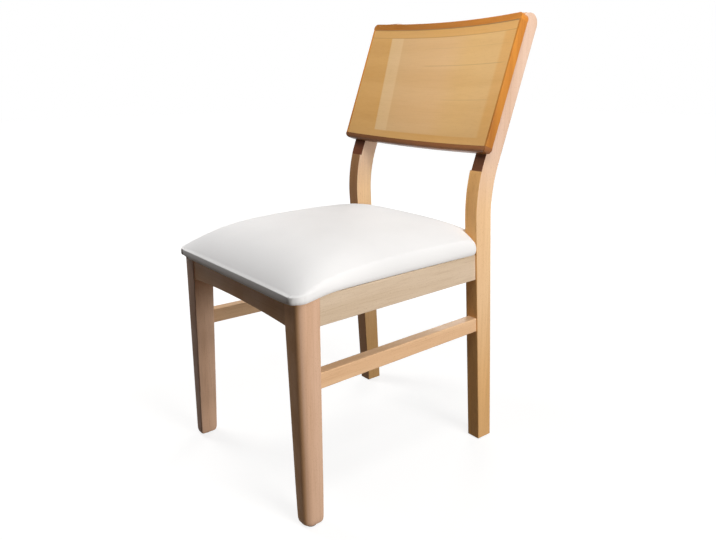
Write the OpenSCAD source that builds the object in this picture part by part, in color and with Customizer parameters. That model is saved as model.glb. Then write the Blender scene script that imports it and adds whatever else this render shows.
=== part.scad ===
// Upholstered wooden dining chair with a curved, leaning back panel.
// Bench frame: y is 0 at the front faces of the front legs, z is 0 on the floor,
// x is 0 in the middle. The whole chair is moved back at the end, so that the
// origin is under the middle of its box.

/* [Seat frame] */
// Width across the outer faces of the front legs, at the seat
front_w = 436; // [390:2:500]
// Width across the outer faces of the rear posts
rear_w = 414; // [370:2:480]
// Height of the top of the seat rails
rail_top = 429; // [390:1:470]
// Height of the side and rear rails
rail_h = 54; // [40:1:76]
// Height of the front rail at its ends
front_rail_h = 56; // [42:1:80]
// Rise of the arch under the front rail
front_arch = 6; // [1:0.5:16]
// Thickness of the four rails
rail_t = 22; // [16:1:28]
// Setback of the front rail behind the legs' front faces
front_rail_inset = 2; // [0.5:0.5:5]
// Setback of the side rail's outer face at the front leg
side_inset_front = 1.5; // [0.5:0.5:5]
// Setback of the side rail's outer face at the rear post
side_inset_rear = 4.5; // [1:0.5:6]
// Distance from the post's middle forward to the rear rail's middle
rear_rail_forward = 1.5; // [0:0.5:4]

/* [Front legs] */
// Width of a front leg at the seat
leg_w = 44; // [36:1:58]
// Depth of a front leg at the seat
leg_d = 44; // [36:1:58]
// Width of a front leg at the floor
foot_w = 30; // [24:1:44]
// Depth of a front leg at the floor
foot_d = 35.5; // [26:0.5:44]
// How far a foot stands out sideways from the leg's top
foot_splay = 6.5; // [0:0.5:16]
// How far a foot's front face stands back from the leg's top
foot_back = 2; // [0:0.5:8]
// Radius of the outer front corner
leg_corner_r = 14.5; // [6:0.5:16]
// Radius of the other three corners
leg_edge_r = 3; // [1:0.5:5]
// Height of the rounding under the foot
foot_round = 8; // [2:0.5:10]

/* [Rear posts] */
// Width of a post
post_w = 32; // [28:1:46]
// Depth of a post from its bend upwards
post_d = 44; // [36:1:56]
// Depth of a post at the floor
post_foot_d = 38; // [28:1:48]
// Distance from the front face of the legs back to the posts' bend
bend_y = 453; // [410:1:520]
// Height of the bend above the top of the rails
bend_up = 131; // [105:1:170]
// How far the posts' feet stand behind the bend
post_foot_back = 38; // [16:1:70]
// Lean of the posts and the back panel above the bend, in degrees
lean = 20; // [10:0.5:24]
// Radius of the bend
bend_r = 285; // [160:5:400]
// Radius of the rear corner at the top of a post
post_top_r = 20; // [10:1:34]
// Depth of the rebate that the back panel sits in
rebate = 3; // [2:0.5:8]
// How far the rebate runs on below the panel
rebate_below = 35; // [10:1:60]

/* [Back panel] */
// Width of the back panel
panel_w = 440; // [420:2:520]
// Height of the panel, measured up its slope
panel_h = 278; // [220:1:340]
// Open height between the crown of the seat and the back panel
panel_clear = 132; // [90:1:190]
// Thickness of the back panel
panel_t = 21; // [14:0.5:26]
// How far the panel's middle lies behind its ends
panel_sag = 19; // [5:0.5:30]
// Radius of the panel's four corners
panel_corner_r = 9; // [3:0.5:14]
// Width of the top lipping
lip_top_h = 14; // [12:0.5:24]
// Width of the bottom lipping
lip_bottom_h = 11.5; // [11:0.5:20]
// Thickness of the end lippings
lip_end_t = 5; // [3:0.5:12]

/* [Stretchers] */
// Open height between a side rail and the stretcher under it
stretcher_gap = 85; // [40:1:160]
// Height of a side stretcher
stretcher_h = 30; // [20:1:50]
// Thickness of a side stretcher
stretcher_t = 23; // [18:1:28]
// Setback of a stretcher from the outer faces of leg and post
stretcher_inset = 3.5; // [1:0.5:6]

/* [Seat pad] */
// How far the pad stands out in front of the legs
pad_front_over = 9; // [6:0.5:16]
// How far the pad stands out beside the front legs
pad_side_over = 5; // [3:0.5:10]
// How far the pad stands out beside the rear posts
pad_rear_side_over = 1; // [0.5:0.5:4]
// How far the pad reaches back over the rear rail
pad_rear_over = 4; // [0:0.5:8]
// Height of the crown above the rails
pad_h = 72; // [50:1:100]
// Plan radius of the pad's front corners
pad_corner_r = 25; // [15:1:40]
// How far the front edge of the pad hangs below the top of the rails
pad_drop = 12.5; // [4:0.5:20]
// How far the pad's sides draw in between its corners
pad_draw = 3; // [0.5:0.5:5]
// Thickness of the cover cloth
cloth_t = 1.2; // [0.8:0.1:2]
// Thickness of the plywood seat board
board_t = 12; // [8:0.5:18]
// Width of the cover's margin that turns under the board
margin_w = 42; // [38:1:58]
// Thickness of the dust cover
dust_t = 0.6; // [0.4:0.1:1.2]
// Width of the cover's margin round the notches for the posts
notch_margin = 20; // [18:1:24]
// Gap between the pad and the posts
pad_post_gap = 1; // [0.5:0.1:3]

/* [Corner blocks] */
// Reach of a corner block along each rail
block_reach = 72; // [66:1:90]
// Height of a corner block
block_h = 32; // [20:1:44]
// Distance from the top of the rails down to a corner block
block_down = 4; // [2:0.5:12]

/* [Fasteners] */
// Diameter of the dowels
dowel_d = 8; // [6:0.5:10]
// Length of a dowel in the rails
dowel_in_rail = 22; // [14:1:30]
// Length of a dowel in a front leg
dowel_in_leg = 20; // [12:1:22]
// Length of a dowel in a rear post
dowel_in_post = 13; // [8:0.5:14]
// Height between the two dowels of a rail joint
dowel_gap = 26; // [18:1:32]
// Height between the two dowels of a stretcher joint
stretcher_dowel_gap = 18; // [12:1:20]
// Diameter of the wood screws
screw_d = 4.5; // [3.5:0.5:5]
// Diameter of the screw heads
screw_head_d = 9; // [7:0.5:10]
// Height of the screw heads
screw_head_h = 3; // [2:0.5:4]
// Length of the screws that hold the corner blocks, inside the rails
block_screw_bite = 14; // [8:1:18]
// Length of the screws that hold the seat, inside the board
seat_screw_bite = 9; // [5:0.5:11]
// Length of the screws that hold the back panel, inside the panel
panel_screw_bite = 12; // [8:0.5:15]
// Thickness of the wooden plugs over the back panel's screws
plug_t = 6; // [4:0.5:10]
// Diameter of the foot glides
glide_d = 22; // [14:1:26]
// Thickness of the foot glides
glide_t = 3; // [2:0.5:6]
// Diameter of the glide nails
nail_d = 3; // [2:0.5:4]
// Length of the glide nails
nail_h = 15; // [8:1:24]
// Crown length of a staple
staple_w = 10; // [8:0.5:13]
// Thickness of the staple wire
staple_t = 0.6; // [0.4:0.1:1]

/* [Hidden] */

// Colours
beech = "#d9ab82";
post_beech = "#e3b48c";
stretcher_beech = "#d3a76b";
veneer = "#d2a564";
lipping = "#b97436";
board_ply = "#d8bd8f";
foam_yellow = "#efe6c8";
cloth_white = "#f2f2f4";
dust_black = "#2b2b2d";
steel = "#b9bbbe";
nylon_brown = "#6b4a33";
plug_beech = "#c99666";

// Clearances, and how finely round shapes are drawn
fit_gap = 0.1;
soft_gap = 0.3;
overrun = 2;
block_gap = 0.5;
dowel_cross_gap = 0.4;
fine = 64;
hull_fine = 32;
big_fine = 720;

// Facts of the seat frame
front_half = front_w / 2;
rear_half = rear_w / 2;
leg_in = front_half - leg_w;
post_in = rear_half - post_w;
rail_bottom = rail_top - rail_h;
front_rail_bottom = rail_top - front_rail_h;
taper_z = min(rail_bottom, front_rail_bottom);
stretcher_top = rail_bottom - stretcher_gap;
rail_mid_z = rail_top - rail_h / 2;

// Facts of the posts: a straight foot, one bend and a straight upper part
bend_z = rail_top + bend_up;
rake = atan(post_foot_back / bend_z);
bend_tangent = bend_r * tan((rake + lean) / 2);
arc_steps = 16;
post_foot_y = bend_y + post_foot_back;
arc_y = bend_y + bend_tangent * sin(rake) + bend_r * cos(rake);
arc_z = bend_z - bend_tangent * cos(rake) + bend_r * sin(rake);
post_half = post_d / 2;
post_foot_half = post_foot_d / 2;
bend_start_z = bend_z - bend_tangent * cos(rake);

// Middle, front and rear of the post at a height below its bend
function post_mid_y(z) = post_foot_y - z * tan(rake);
function post_half_at(z) = post_foot_half + (post_half - post_foot_half) * z / bend_start_z;
function post_front_y(z) = post_mid_y(z) - post_half_at(z) / cos(rake);
// Rear face of the post at a height above its bend
function post_rear_top_y(z) = bend_y + (z - bend_z) * tan(lean) + post_half / cos(lean);
function arc_point(r, a) = [arc_y - r * cos(a), arc_z - r * sin(a)];

// Heights of the panel's bottom and top in its middle, and of its ends, where the posts end too
panel_bottom_z = rail_top + pad_h + panel_clear;
top_z = panel_bottom_z + panel_h * cos(lean);
post_top_z = top_z + panel_sag * sin(lean);
rear_most_y = post_rear_top_y(post_top_z - post_top_r) - post_top_r / cos(lean) + post_top_r;
mid_y = (rear_most_y - pad_front_over) / 2;

// Facts of the back panel, whose own frame has v up the slope and w backwards
panel_half = panel_w / 2;
panel_r = (panel_half * panel_half + panel_sag * panel_sag) / (2 * panel_sag);
panel_post_x = rear_half - post_w / 2;
// Place of the panel's rear face at a post's middle, in the panel's own frame
panel_back_w = sqrt((panel_r + panel_t) ^ 2 - panel_post_x ^ 2) - panel_r;
panel_back_y = bend_y + (panel_bottom_z - bend_z) * tan(lean) + (rebate - post_half) / cos(lean);
// Place of the middle of the panel's bottom front edge
panel_y = panel_back_y - panel_back_w / cos(lean);
panel_screw_shares = [0.2, 0.8];

// Facts of the seat pad
pad_half_front = front_half + pad_side_over;
pad_half_rear = rear_half + pad_rear_side_over;
rear_rail_mid_y = post_mid_y(rail_mid_z) - rear_rail_forward;
rear_rail_front_y = rear_rail_mid_y - rail_t / 2;
rear_rail_back_y = rear_rail_mid_y + rail_t / 2;
pad_rear_y = rear_rail_back_y + pad_rear_over;
pad_mid_y = (pad_rear_y - pad_front_over) / 2;
pad_base = rail_top + soft_gap;
edge_in = 2.5;
roll_in = 8.2;
crown_in = 5;
drop_fade = 48;
board_in = 16.5;
board_bottom = pad_base + cloth_t + soft_gap;
board_top = board_bottom + board_t;
notch_top_share = 0.6;
notch_top_z = rail_top + pad_h * notch_top_share;

// Swell of the pad: low at the front edge, taller at the sides and the rear.
// Each low share is the part of the height that is lost at that edge.
front_low_share = 0.96;
front_fade = 63;
side_low_share = 0.55;
side_fade = 36;
rear_low_share = 0.5;
rear_fade = 43;
edge_mid_share = 0.4;
edge_up_share = 0.82;
edge_up_in = 1.6;
ring_shares = [0.975, 0.93, 0.87, 0.78, 0.66, 0.5, 0.3];
front_shares = [0, 0.28, 0.55, 0.8];
side_shares = [0.15, 0.32, 0.5, 0.68, 0.85, 1];
rear_shares = [0.66, 0.33, 0];
corner_steps = 5;

// Half width of the pad at a depth, drawn in between its corners
function pad_half(y) =
  let (t = min(max(y / post_front_y(rail_top), 0), 1))
  pad_half_front + (pad_half_rear - pad_half_front) * t - pad_draw * 4 * t * (1 - t);
// Height of the pad's top at a place
function pad_z(x, y) =
  pad_base + pad_h
    * (1 - front_low_share * exp(-max(y + pad_front_over, 0) / front_fade))
    * (1 - side_low_share * exp(-max(pad_half(y) - abs(x), 0) / side_fade))
    * (1 - rear_low_share * exp(-max(pad_rear_y - y, 0) / rear_fade));
// Height of the pad's lower edge, which hangs down at the front
function pad_low(y) =
  pad_base + cloth_t - (pad_drop + cloth_t) * exp(-pow((y + pad_front_over) / drop_fade, 2));

// Half of the pad's outline, set in by i, with the notch for a post at height z
function pad_side(i, z) =
  let (
    r = max(pad_corner_r - i, leg_edge_r),
    fy = i - pad_front_over,
    cy = fy + r,
    cx = pad_half(cy) - i - r,
    n = min(i, notch_margin),
    ny = post_front_y(z) - pad_post_gap - n,
    nx = post_in - pad_post_gap - n,
    ry = pad_rear_y - i
  )
  concat(
    [for (s = front_shares) [cx * s, fy]],
    [for (k = [0 : corner_steps]) let (a = 90 * k / corner_steps) [cx + r * sin(a), cy - r * cos(a)]],
    [for (s = side_shares) let (y = cy + (ny - cy) * s) [pad_half(y) - i, y]],
    [[nx, ny], [nx, ry]],
    [for (s = rear_shares) [nx * s, ry]]
  );
// The whole outline, once round
function pad_outline(i, z) =
  let (half = pad_side(i, z), n = len(half))
  concat(half, [for (k = [n - 2 : -1 : 1]) [-half[k][0], half[k][1]]]);

// Rings of points of the pad, from the outline, set in by d more than the cloth's outside
function ring_flat(i, z, up) = [for (p = pad_outline(i, z)) [p[0], p[1], z + up]];
function ring_low(i, d) = [for (p = pad_outline(i + d, rail_top)) [p[0], p[1], pad_low(p[1] - i) + d]];
function ring_edge(i, d, share) =
  [for (p = pad_outline(i + d, rail_top))
    [p[0], p[1], pad_base + (pad_z(p[0], p[1]) - pad_base) * share + (1 - share) * d / 2]];
function ring_crown(d, s) =
  [for (p = pad_outline(crown_in + d, notch_top_z))
    let (x = p[0] * s, y = pad_mid_y + (p[1] - pad_mid_y) * s)
    [x, y, pad_z(x, y) - d]];
// The rings of the pad's side and top, from the lower edge to the crown
function pad_rings(d) = concat(
  [ring_low(edge_in, d), ring_edge(0, d, edge_mid_share), ring_edge(edge_up_in, d, edge_up_share)],
  [ring_crown(d, 1)],
  [for (s = ring_shares) ring_crown(d, s)]
);

// Triangles between rings that follow each other
function ring_faces(n, m) = [
  for (k = [0 : m - 2]) for (j = [0 : n - 1])
    let (a = k * n + j, b = k * n + (j + 1) % n)
    each [[a, b + n, b], [a, a + n, b + n]]
];
// Triangles from the last ring to one point
function cap_faces(n, first, point, flip) =
  [for (j = [0 : n - 1]) let (a = first + j, b = first + (j + 1) % n) flip ? [b, a, point] : [a, b, point]];

module place() {
  translate([0, -mid_y, 0]) children();
}

module both_sides() {
  children();
  mirror([1, 0, 0]) children();
}

// The right side is made first, and the left side is its mirror image
module side(s) {
  if (s > 0) children();
  else mirror([1, 0, 0]) children();
}

// A cylinder along y or x, from a point
module rod_y(x, y, z, d, h) {
  translate([x, y, z]) rotate([-90, 0, 0]) cylinder(d = d, h = h, $fn = fine);
}
module rod_x(x, y, z, d, h) {
  translate([x, y, z]) rotate([0, 90, 0]) cylinder(d = d, h = h, $fn = fine);
}

// Outline drawn in y and z, extruded along x
module side_profile(x0, x1) {
  translate([x0, 0, 0]) rotate([90, 0, 90]) linear_extrude(height = x1 - x0) children();
}

// Section of a front leg: large outer front radius, small ones elsewhere
module leg_section(x_out, x_in, y_front, y_back) {
  hull() {
    translate([x_out - leg_corner_r, y_front + leg_corner_r]) circle(r = leg_corner_r, $fn = hull_fine);
    translate([x_out - leg_edge_r, y_back - leg_edge_r]) circle(r = leg_edge_r, $fn = hull_fine);
    translate([x_in + leg_edge_r, y_front + leg_edge_r]) circle(r = leg_edge_r, $fn = hull_fine);
    translate([x_in + leg_edge_r, y_back - leg_edge_r]) circle(r = leg_edge_r, $fn = hull_fine);
  }
}

slice_t = 0.5;
foot_out = front_half + foot_splay;
foot_in = foot_out - foot_w;
foot_shrink = foot_round / 2;
// Rear face of a front leg at a height below the rails
function leg_back_y(z) =
  leg_d - (leg_d - foot_back - foot_d) * (taper_z - z) / (taper_z - glide_t - foot_round);
function leg_out_x(z) = front_half + foot_splay * (taper_z - z) / (taper_z - glide_t - foot_round);

module leg_blank() {
  translate([0, 0, taper_z - slice_t])
    linear_extrude(height = rail_top - taper_z + slice_t)
      leg_section(front_half, leg_in, 0, leg_d);
  hull() {
    translate([0, 0, taper_z - slice_t]) linear_extrude(height = slice_t)
      leg_section(front_half, leg_in, 0, leg_d);
    translate([0, 0, glide_t + foot_round]) linear_extrude(height = slice_t)
      leg_section(foot_out, foot_in, foot_back, foot_back + foot_d);
    translate([0, 0, glide_t]) linear_extrude(height = slice_t)
      leg_section(foot_out - foot_shrink, foot_in + foot_shrink,
        foot_back + foot_shrink, foot_back + foot_d - foot_shrink);
  }
}

// Places of the joints
side_rail_x_front = front_half - side_inset_front - rail_t / 2;
side_rail_x_rear = rear_half - side_inset_rear - rail_t / 2;
front_rail_y = front_rail_inset + rail_t / 2;
stretcher_mid_z = stretcher_top - stretcher_h / 2;
stretcher_x_front = leg_out_x(stretcher_mid_z) - stretcher_inset - stretcher_t / 2;
stretcher_x_rear = rear_half - stretcher_inset - stretcher_t / 2;
glide_x_front = (foot_out + foot_in) / 2;
glide_y_front = foot_back + foot_d / 2;
glide_x_rear = rear_half - post_w / 2;
glide_y_rear = post_foot_y;
side_dowel_shift = dowel_d / 2 + dowel_cross_gap;

module dowel_pair(gap) {
  for (s = [-1, 1]) translate([0, 0, s * gap / 2]) children();
}

// All dowels of the right side's rail joints, wider by grow for their holes
module front_rail_dowels(grow) {
  dowel_pair(dowel_gap)
    rod_x(leg_in - dowel_in_rail - grow, front_rail_y, rail_mid_z - side_dowel_shift,
      dowel_d + 2 * grow, dowel_in_rail + dowel_in_leg + 2 * grow);
}
module side_rail_dowels(grow) {
  dowel_pair(dowel_gap) {
    rod_y(side_rail_x_front, leg_d - dowel_in_leg - grow, rail_mid_z + side_dowel_shift,
      dowel_d + 2 * grow, dowel_in_rail + dowel_in_leg + 2 * grow);
    rod_y(side_rail_x_rear, post_front_y(rail_mid_z) - dowel_in_rail - grow,
      rail_mid_z + side_dowel_shift, dowel_d + 2 * grow, dowel_in_rail + dowel_in_post + 2 * grow);
  }
}
module rear_rail_dowels(grow) {
  dowel_pair(dowel_gap)
    rod_x(post_in - dowel_in_rail - grow, rear_rail_mid_y, rail_mid_z - side_dowel_shift,
      dowel_d + 2 * grow, dowel_in_rail + dowel_in_post + 2 * grow);
}
module stretcher_dowel_set(grow) {
  dowel_pair(stretcher_dowel_gap) {
    rod_y(stretcher_x_front, leg_back_y(stretcher_mid_z) - dowel_in_post - grow, stretcher_mid_z,
      dowel_d + 2 * grow, dowel_in_post + dowel_in_rail + 2 * grow);
    rod_y(stretcher_x_rear, post_front_y(stretcher_mid_z) - dowel_in_rail - grow, stretcher_mid_z,
      dowel_d + 2 * grow, dowel_in_post + dowel_in_rail + 2 * grow);
  }
}

module nail_hole(x, y) {
  translate([x, y, glide_t - overrun])
    cylinder(d = nail_d + 2 * fit_gap, h = nail_h + overrun + fit_gap, $fn = fine);
}

module front_leg(s) {
  color(beech) place() side(s) difference() {
    leg_blank();
    front_rail_dowels(fit_gap);
    side_rail_dowels(fit_gap);
    stretcher_dowel_set(fit_gap);
    nail_hole(glide_x_front, glide_y_front);
  }
}

// Side outline of a rear post, from the floor up its front and down its rear
module post_outline() {
  rc = post_top_r;
  cy = post_rear_top_y(post_top_z - rc) - rc / cos(lean);
  front_top_y = bend_y + (post_top_z - bend_z) * tan(lean) - post_half / cos(lean);
  polygon(concat(
    [[post_foot_y - post_foot_half, glide_t]],
    [for (k = [0 : arc_steps]) arc_point(bend_r + post_half, rake - (rake + lean) * k / arc_steps)],
    [[front_top_y, post_top_z]],
    [for (k = [arc_steps : -1 : 0]) let (a = (90 + lean) * k / arc_steps - lean)
      [cy + rc * cos(a), post_top_z - rc + rc * sin(a)]],
    [for (k = [arc_steps : -1 : 0]) arc_point(bend_r - post_half, rake - (rake + lean) * k / arc_steps)],
    [[post_foot_y + post_foot_half, glide_t]]
  ));
}

module post_blank() {
  side_profile(post_in, rear_half) post_outline();
}

// Moves a thing from the back panel's own frame to the chair
module at_panel() {
  translate([0, panel_y, panel_bottom_z]) rotate([-lean, 0, 0]) children();
}

// A piece of the curved sheet that the panel is cut from, in the panel's own frame
module curved_sheet(x0, x1, v0, v1) {
  translate([0, 0, v0]) linear_extrude(height = v1 - v0) intersection() {
    translate([0, -panel_r]) difference() {
      circle(r = panel_r + panel_t, $fn = big_fine);
      circle(r = panel_r, $fn = big_fine);
    }
    translate([x0, -panel_sag - panel_t]) square([x1 - x0, panel_sag + 3 * panel_t]);
  }
}

// Front view of the panel, with round corners, as a thick block
module panel_shape() {
  depth = panel_sag + 4 * panel_t;
  translate([0, depth / 2, 0]) rotate([90, 0, 0]) linear_extrude(height = depth) union() {
    translate([-panel_half + panel_corner_r, 0])
      square([panel_w - 2 * panel_corner_r, panel_h]);
    translate([-panel_half, panel_corner_r])
      square([panel_w, panel_h - 2 * panel_corner_r]);
    for (x = [-1, 1], z = [panel_corner_r, panel_h - panel_corner_r])
      translate([x * (panel_half - panel_corner_r), z])
        circle(r = panel_corner_r, $fn = fine);
  }
}

// Screws through the posts into the panel; the post is thinner there by its rebate
screw_reach = post_d - rebate - plug_t;
module panel_screw_places() {
  for (share = panel_screw_shares)
    translate([panel_post_x, 0, panel_h * share]) rotate([-90, 0, 0]) children();
}

module rear_post(s) {
  color(post_beech) place() side(s) difference() {
    post_blank();
    at_panel() curved_sheet(post_in - overrun, rear_half + overrun, -rebate_below, panel_h + panel_t);
    side_rail_dowels(fit_gap);
    rear_rail_dowels(fit_gap);
    stretcher_dowel_set(fit_gap);
    nail_hole(glide_x_rear, glide_y_rear);
    at_panel() panel_screw_places() {
      translate([0, 0, panel_back_w - overrun])
        cylinder(d = screw_d + 2 * fit_gap, h = post_d + panel_t, $fn = fine);
      translate([0, 0, panel_back_w + screw_reach - screw_head_h - fit_gap])
        cylinder(d = screw_head_d + 2 * fit_gap, h = post_d, $fn = fine);
    }
  }
}

module front_rail() {
  arch_r = (leg_in * leg_in + front_arch * front_arch) / (2 * front_arch);
  color(beech) place() difference() {
    translate([-leg_in, front_rail_inset, front_rail_bottom]) cube([2 * leg_in, rail_t, front_rail_h]);
    translate([0, front_rail_inset - overrun, front_rail_bottom + front_arch - arch_r])
      rotate([-90, 0, 0]) cylinder(r = arch_r, h = rail_t + 2 * overrun, $fn = big_fine);
    both_sides() front_rail_dowels(fit_gap);
    both_sides() front_block_screws(fit_gap, 0);
  }
}

module rear_rail() {
  color(beech) place() difference() {
    translate([-post_in, rear_rail_front_y, rail_bottom]) cube([2 * post_in, rail_t, rail_h]);
    both_sides() rear_rail_dowels(fit_gap);
    both_sides() rear_block_screws(fit_gap, 0);
  }
}

// Plan of a side bar that runs from a front leg to a rear post, between two x places
module side_bar_plan(x_front, x_rear, t, y0, y1) {
  polygon([
    [x_front - t / 2, y0], [x_front + t / 2, y0],
    [x_rear + t / 2, y1], [x_rear - t / 2, y1]
  ]);
}

// Side view of a side bar: its ends follow the leg's rear face and the post's front face
module side_bar_view(z0, z1, leg_y0, leg_y1) {
  side_profile(0, front_w) polygon([
    [leg_y0, z0], [post_front_y(z0), z0], [post_front_y(z1), z1], [leg_y1, z1]
  ]);
}

module side_bar(x_front, x_rear, t, z0, z1, leg_y0, leg_y1) {
  y0 = leg_y1;
  y1 = post_front_y(z0);
  intersection() {
    translate([0, 0, z0 - overrun]) linear_extrude(height = z1 - z0 + 2 * overrun)
      side_bar_plan(x_front + (x_front - x_rear) * overrun / (y1 - y0),
        x_rear - (x_front - x_rear) * overrun / (y1 - y0), t, y0 - overrun, y1 + overrun);
    side_bar_view(z0, z1, leg_y0, leg_y1);
  }
}

module side_rail(s) {
  color(beech) place() side(s) difference() {
    side_bar(side_rail_x_front, side_rail_x_rear, rail_t, rail_bottom, rail_top, leg_d, leg_d);
    side_rail_dowels(fit_gap);
    front_block_screws(fit_gap, 1);
    rear_block_screws(fit_gap, 1);
  }
}

module side_stretcher(s) {
  z0 = stretcher_top - stretcher_h;
  color(stretcher_beech) place() side(s) difference() {
    side_bar(stretcher_x_front, stretcher_x_rear, stretcher_t, z0, stretcher_top,
      leg_back_y(z0), leg_back_y(stretcher_top));
    stretcher_dowel_set(fit_gap);
  }
}

// Back panel and its solid edges
module panel_piece(x0, x1, v0, v1) {
  at_panel() intersection() {
    curved_sheet(x0, x1, v0, v1);
    panel_shape();
  }
}

module back_panel() {
  color(veneer) place() difference() {
    panel_piece(lip_end_t - panel_half, panel_half - lip_end_t, lip_bottom_h, panel_h - lip_top_h);
    both_sides() at_panel() panel_screw_places()
      translate([0, 0, panel_back_w - panel_screw_bite - fit_gap])
        cylinder(d = screw_d + 2 * fit_gap, h = panel_screw_bite + overrun, $fn = fine);
  }
}

module back_lipping_top() {
  color(lipping) place()
    panel_piece(-panel_half - overrun, panel_half + overrun, panel_h - lip_top_h, panel_h);
}

module back_lipping_bottom() {
  color(lipping) place()
    panel_piece(-panel_half - overrun, panel_half + overrun, 0, lip_bottom_h);
}

module back_lipping_end(s) {
  color(lipping) place() side(s)
    panel_piece(panel_half - lip_end_t, panel_half + overrun, lip_bottom_h, panel_h - lip_top_h);
}

// Corner blocks: a triangle between two rails, cut away round the leg or the post
block_top = rail_top - block_down;
block_bottom = block_top - block_h;
block_mid_z = block_top - block_h / 2;
screw_place_share = 0.6;
bore_share = 0.22;
// Inner face of the side rail at a depth
function side_rail_in_x(y) =
  let (t = (y - leg_d) / (post_front_y(rail_bottom) - leg_d))
  side_rail_x_front + (side_rail_x_rear - side_rail_x_front) * t - rail_t / 2;

front_block_y = front_rail_inset + rail_t;
module front_block_plan() {
  polygon([
    [leg_in - block_reach, front_block_y],
    [leg_in - block_gap, front_block_y],
    [leg_in - block_gap, leg_d + block_gap],
    [side_rail_in_x(leg_d + block_gap), leg_d + block_gap],
    [side_rail_in_x(leg_d + block_reach), leg_d + block_reach]
  ]);
}

post_near_y = post_front_y(block_top) - block_gap;
module rear_block_plan() {
  polygon([
    [post_in - block_reach, rear_rail_front_y],
    [post_in - block_gap, rear_rail_front_y],
    [post_in - block_gap, post_near_y],
    [side_rail_in_x(post_near_y), post_near_y],
    [side_rail_in_x(post_near_y - block_reach), post_near_y - block_reach]
  ]);
}

// Screws of the blocks: which is 0 for the cross rail and 1 for the side rail
front_cross_x = leg_in - block_reach * screw_place_share;
front_side_y = leg_d + block_reach * screw_place_share;
rear_cross_x = post_in - block_reach * screw_place_share;
rear_side_y = post_near_y - block_reach * screw_place_share;
block_bore = block_reach * bore_share;

// One screw: z runs from the tip to the head
module screw(bite, grip, grow, head) {
  cylinder(d = screw_d + 2 * grow, h = bite + grip, $fn = fine);
  if (head)
    translate([0, 0, bite + grip - screw_head_h])
      cylinder(d1 = screw_d + 2 * grow, d2 = screw_head_d + 2 * grow, h = screw_head_h, $fn = fine);
}

module front_block_screws(grow, which) {
  if (which == 0)
    translate([front_cross_x, front_block_y - block_screw_bite - grow, block_mid_z])
      rotate([-90, 0, 0]) screw(block_screw_bite, block_bore, grow, true);
  else
    translate([side_rail_in_x(front_side_y) + block_screw_bite + grow, front_side_y, block_mid_z])
      rotate([0, -90, 0]) screw(block_screw_bite, block_bore, grow, true);
}

module rear_block_screws(grow, which) {
  if (which == 0)
    translate([rear_cross_x, rear_rail_front_y + block_screw_bite + grow, block_mid_z])
      rotate([90, 0, 0]) screw(block_screw_bite, block_bore, grow, true);
  else
    translate([side_rail_in_x(rear_side_y) + block_screw_bite + grow, rear_side_y, block_mid_z])
      rotate([0, -90, 0]) screw(block_screw_bite, block_bore, grow, true);
}

// Room for the screw heads, cut into the long face of a block
module front_block_pockets() {
  translate([front_cross_x, front_block_y + block_bore, block_mid_z]) rotate([-90, 0, 0])
    cylinder(d = screw_head_d + 2 * block_gap, h = block_reach, $fn = fine);
  translate([side_rail_in_x(front_side_y) - block_bore, front_side_y, block_mid_z])
    rotate([0, -90, 0]) cylinder(d = screw_head_d + 2 * block_gap, h = block_reach, $fn = fine);
}

module rear_block_pockets() {
  translate([rear_cross_x, rear_rail_front_y - block_bore, block_mid_z]) rotate([90, 0, 0])
    cylinder(d = screw_head_d + 2 * block_gap, h = block_reach, $fn = fine);
  translate([side_rail_in_x(rear_side_y) - block_bore, rear_side_y, block_mid_z])
    rotate([0, -90, 0]) cylinder(d = screw_head_d + 2 * block_gap, h = block_reach, $fn = fine);
}

// Upright screws that hold the seat board, just inside the cover's margin
seat_screw_room = screw_head_d + block_gap;
seat_grip = board_bottom - block_bottom;
seat_screw_front_y = leg_d + seat_screw_room;
seat_screw_rear_y = post_front_y(rail_top) - pad_post_gap - notch_margin - seat_screw_room;
module seat_screw_place(rear) {
  y = rear ? seat_screw_rear_y : seat_screw_front_y;
  translate([pad_half(y) - margin_w - seat_screw_room / 2, y, block_bottom]) children();
}
module seat_screw(grow) {
  translate([0, 0, seat_grip + seat_screw_bite + grow]) rotate([180, 0, 0])
    screw(seat_screw_bite, seat_grip + grow, grow, true);
}

module corner_block_front(s) {
  color(beech) place() side(s) difference() {
    translate([0, 0, block_bottom]) linear_extrude(height = block_h) front_block_plan();
    front_block_screws(fit_gap, 0);
    front_block_screws(fit_gap, 1);
    front_block_pockets();
    seat_screw_place(false) seat_screw(fit_gap);
  }
}

module corner_block_rear(s) {
  color(beech) place() side(s) difference() {
    translate([0, 0, block_bottom]) linear_extrude(height = block_h) rear_block_plan();
    rear_block_screws(fit_gap, 0);
    rear_block_screws(fit_gap, 1);
    rear_block_pockets();
    seat_screw_place(true) seat_screw(fit_gap);
  }
}

// Seat board: plywood with notches round the posts
module seat_board() {
  color(board_ply) place() difference() {
    translate([0, 0, board_bottom]) linear_extrude(height = board_t)
      polygon(pad_outline(board_in, rail_top));
    both_sides() for (rear = [false, true]) seat_screw_place(rear) seat_screw(fit_gap);
  }
}

// Foam: swells from the board to just under the cover, and wraps the board's edge
module seat_foam() {
  d = cloth_t + soft_gap;
  outer = pad_rings(d);
  rings = concat(
    [ring_flat(board_in - soft_gap, board_top + soft_gap, 0)],
    [ring_flat(board_in - soft_gap, board_bottom + soft_gap, 0)],
    outer
  );
  n = len(rings[0]);
  m = len(rings);
  points = concat(
    [for (r = rings) each r],
    [[0, pad_mid_y, board_top + soft_gap], [0, pad_mid_y, pad_z(0, pad_mid_y) - d]]
  );
  color(foam_yellow) place() polyhedron(
    points = points,
    faces = concat(
      cap_faces(n, 0, n * m, false),
      ring_faces(n, m),
      cap_faces(n, n * (m - 1), n * m + 1, true)
    )
  );
}

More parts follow.
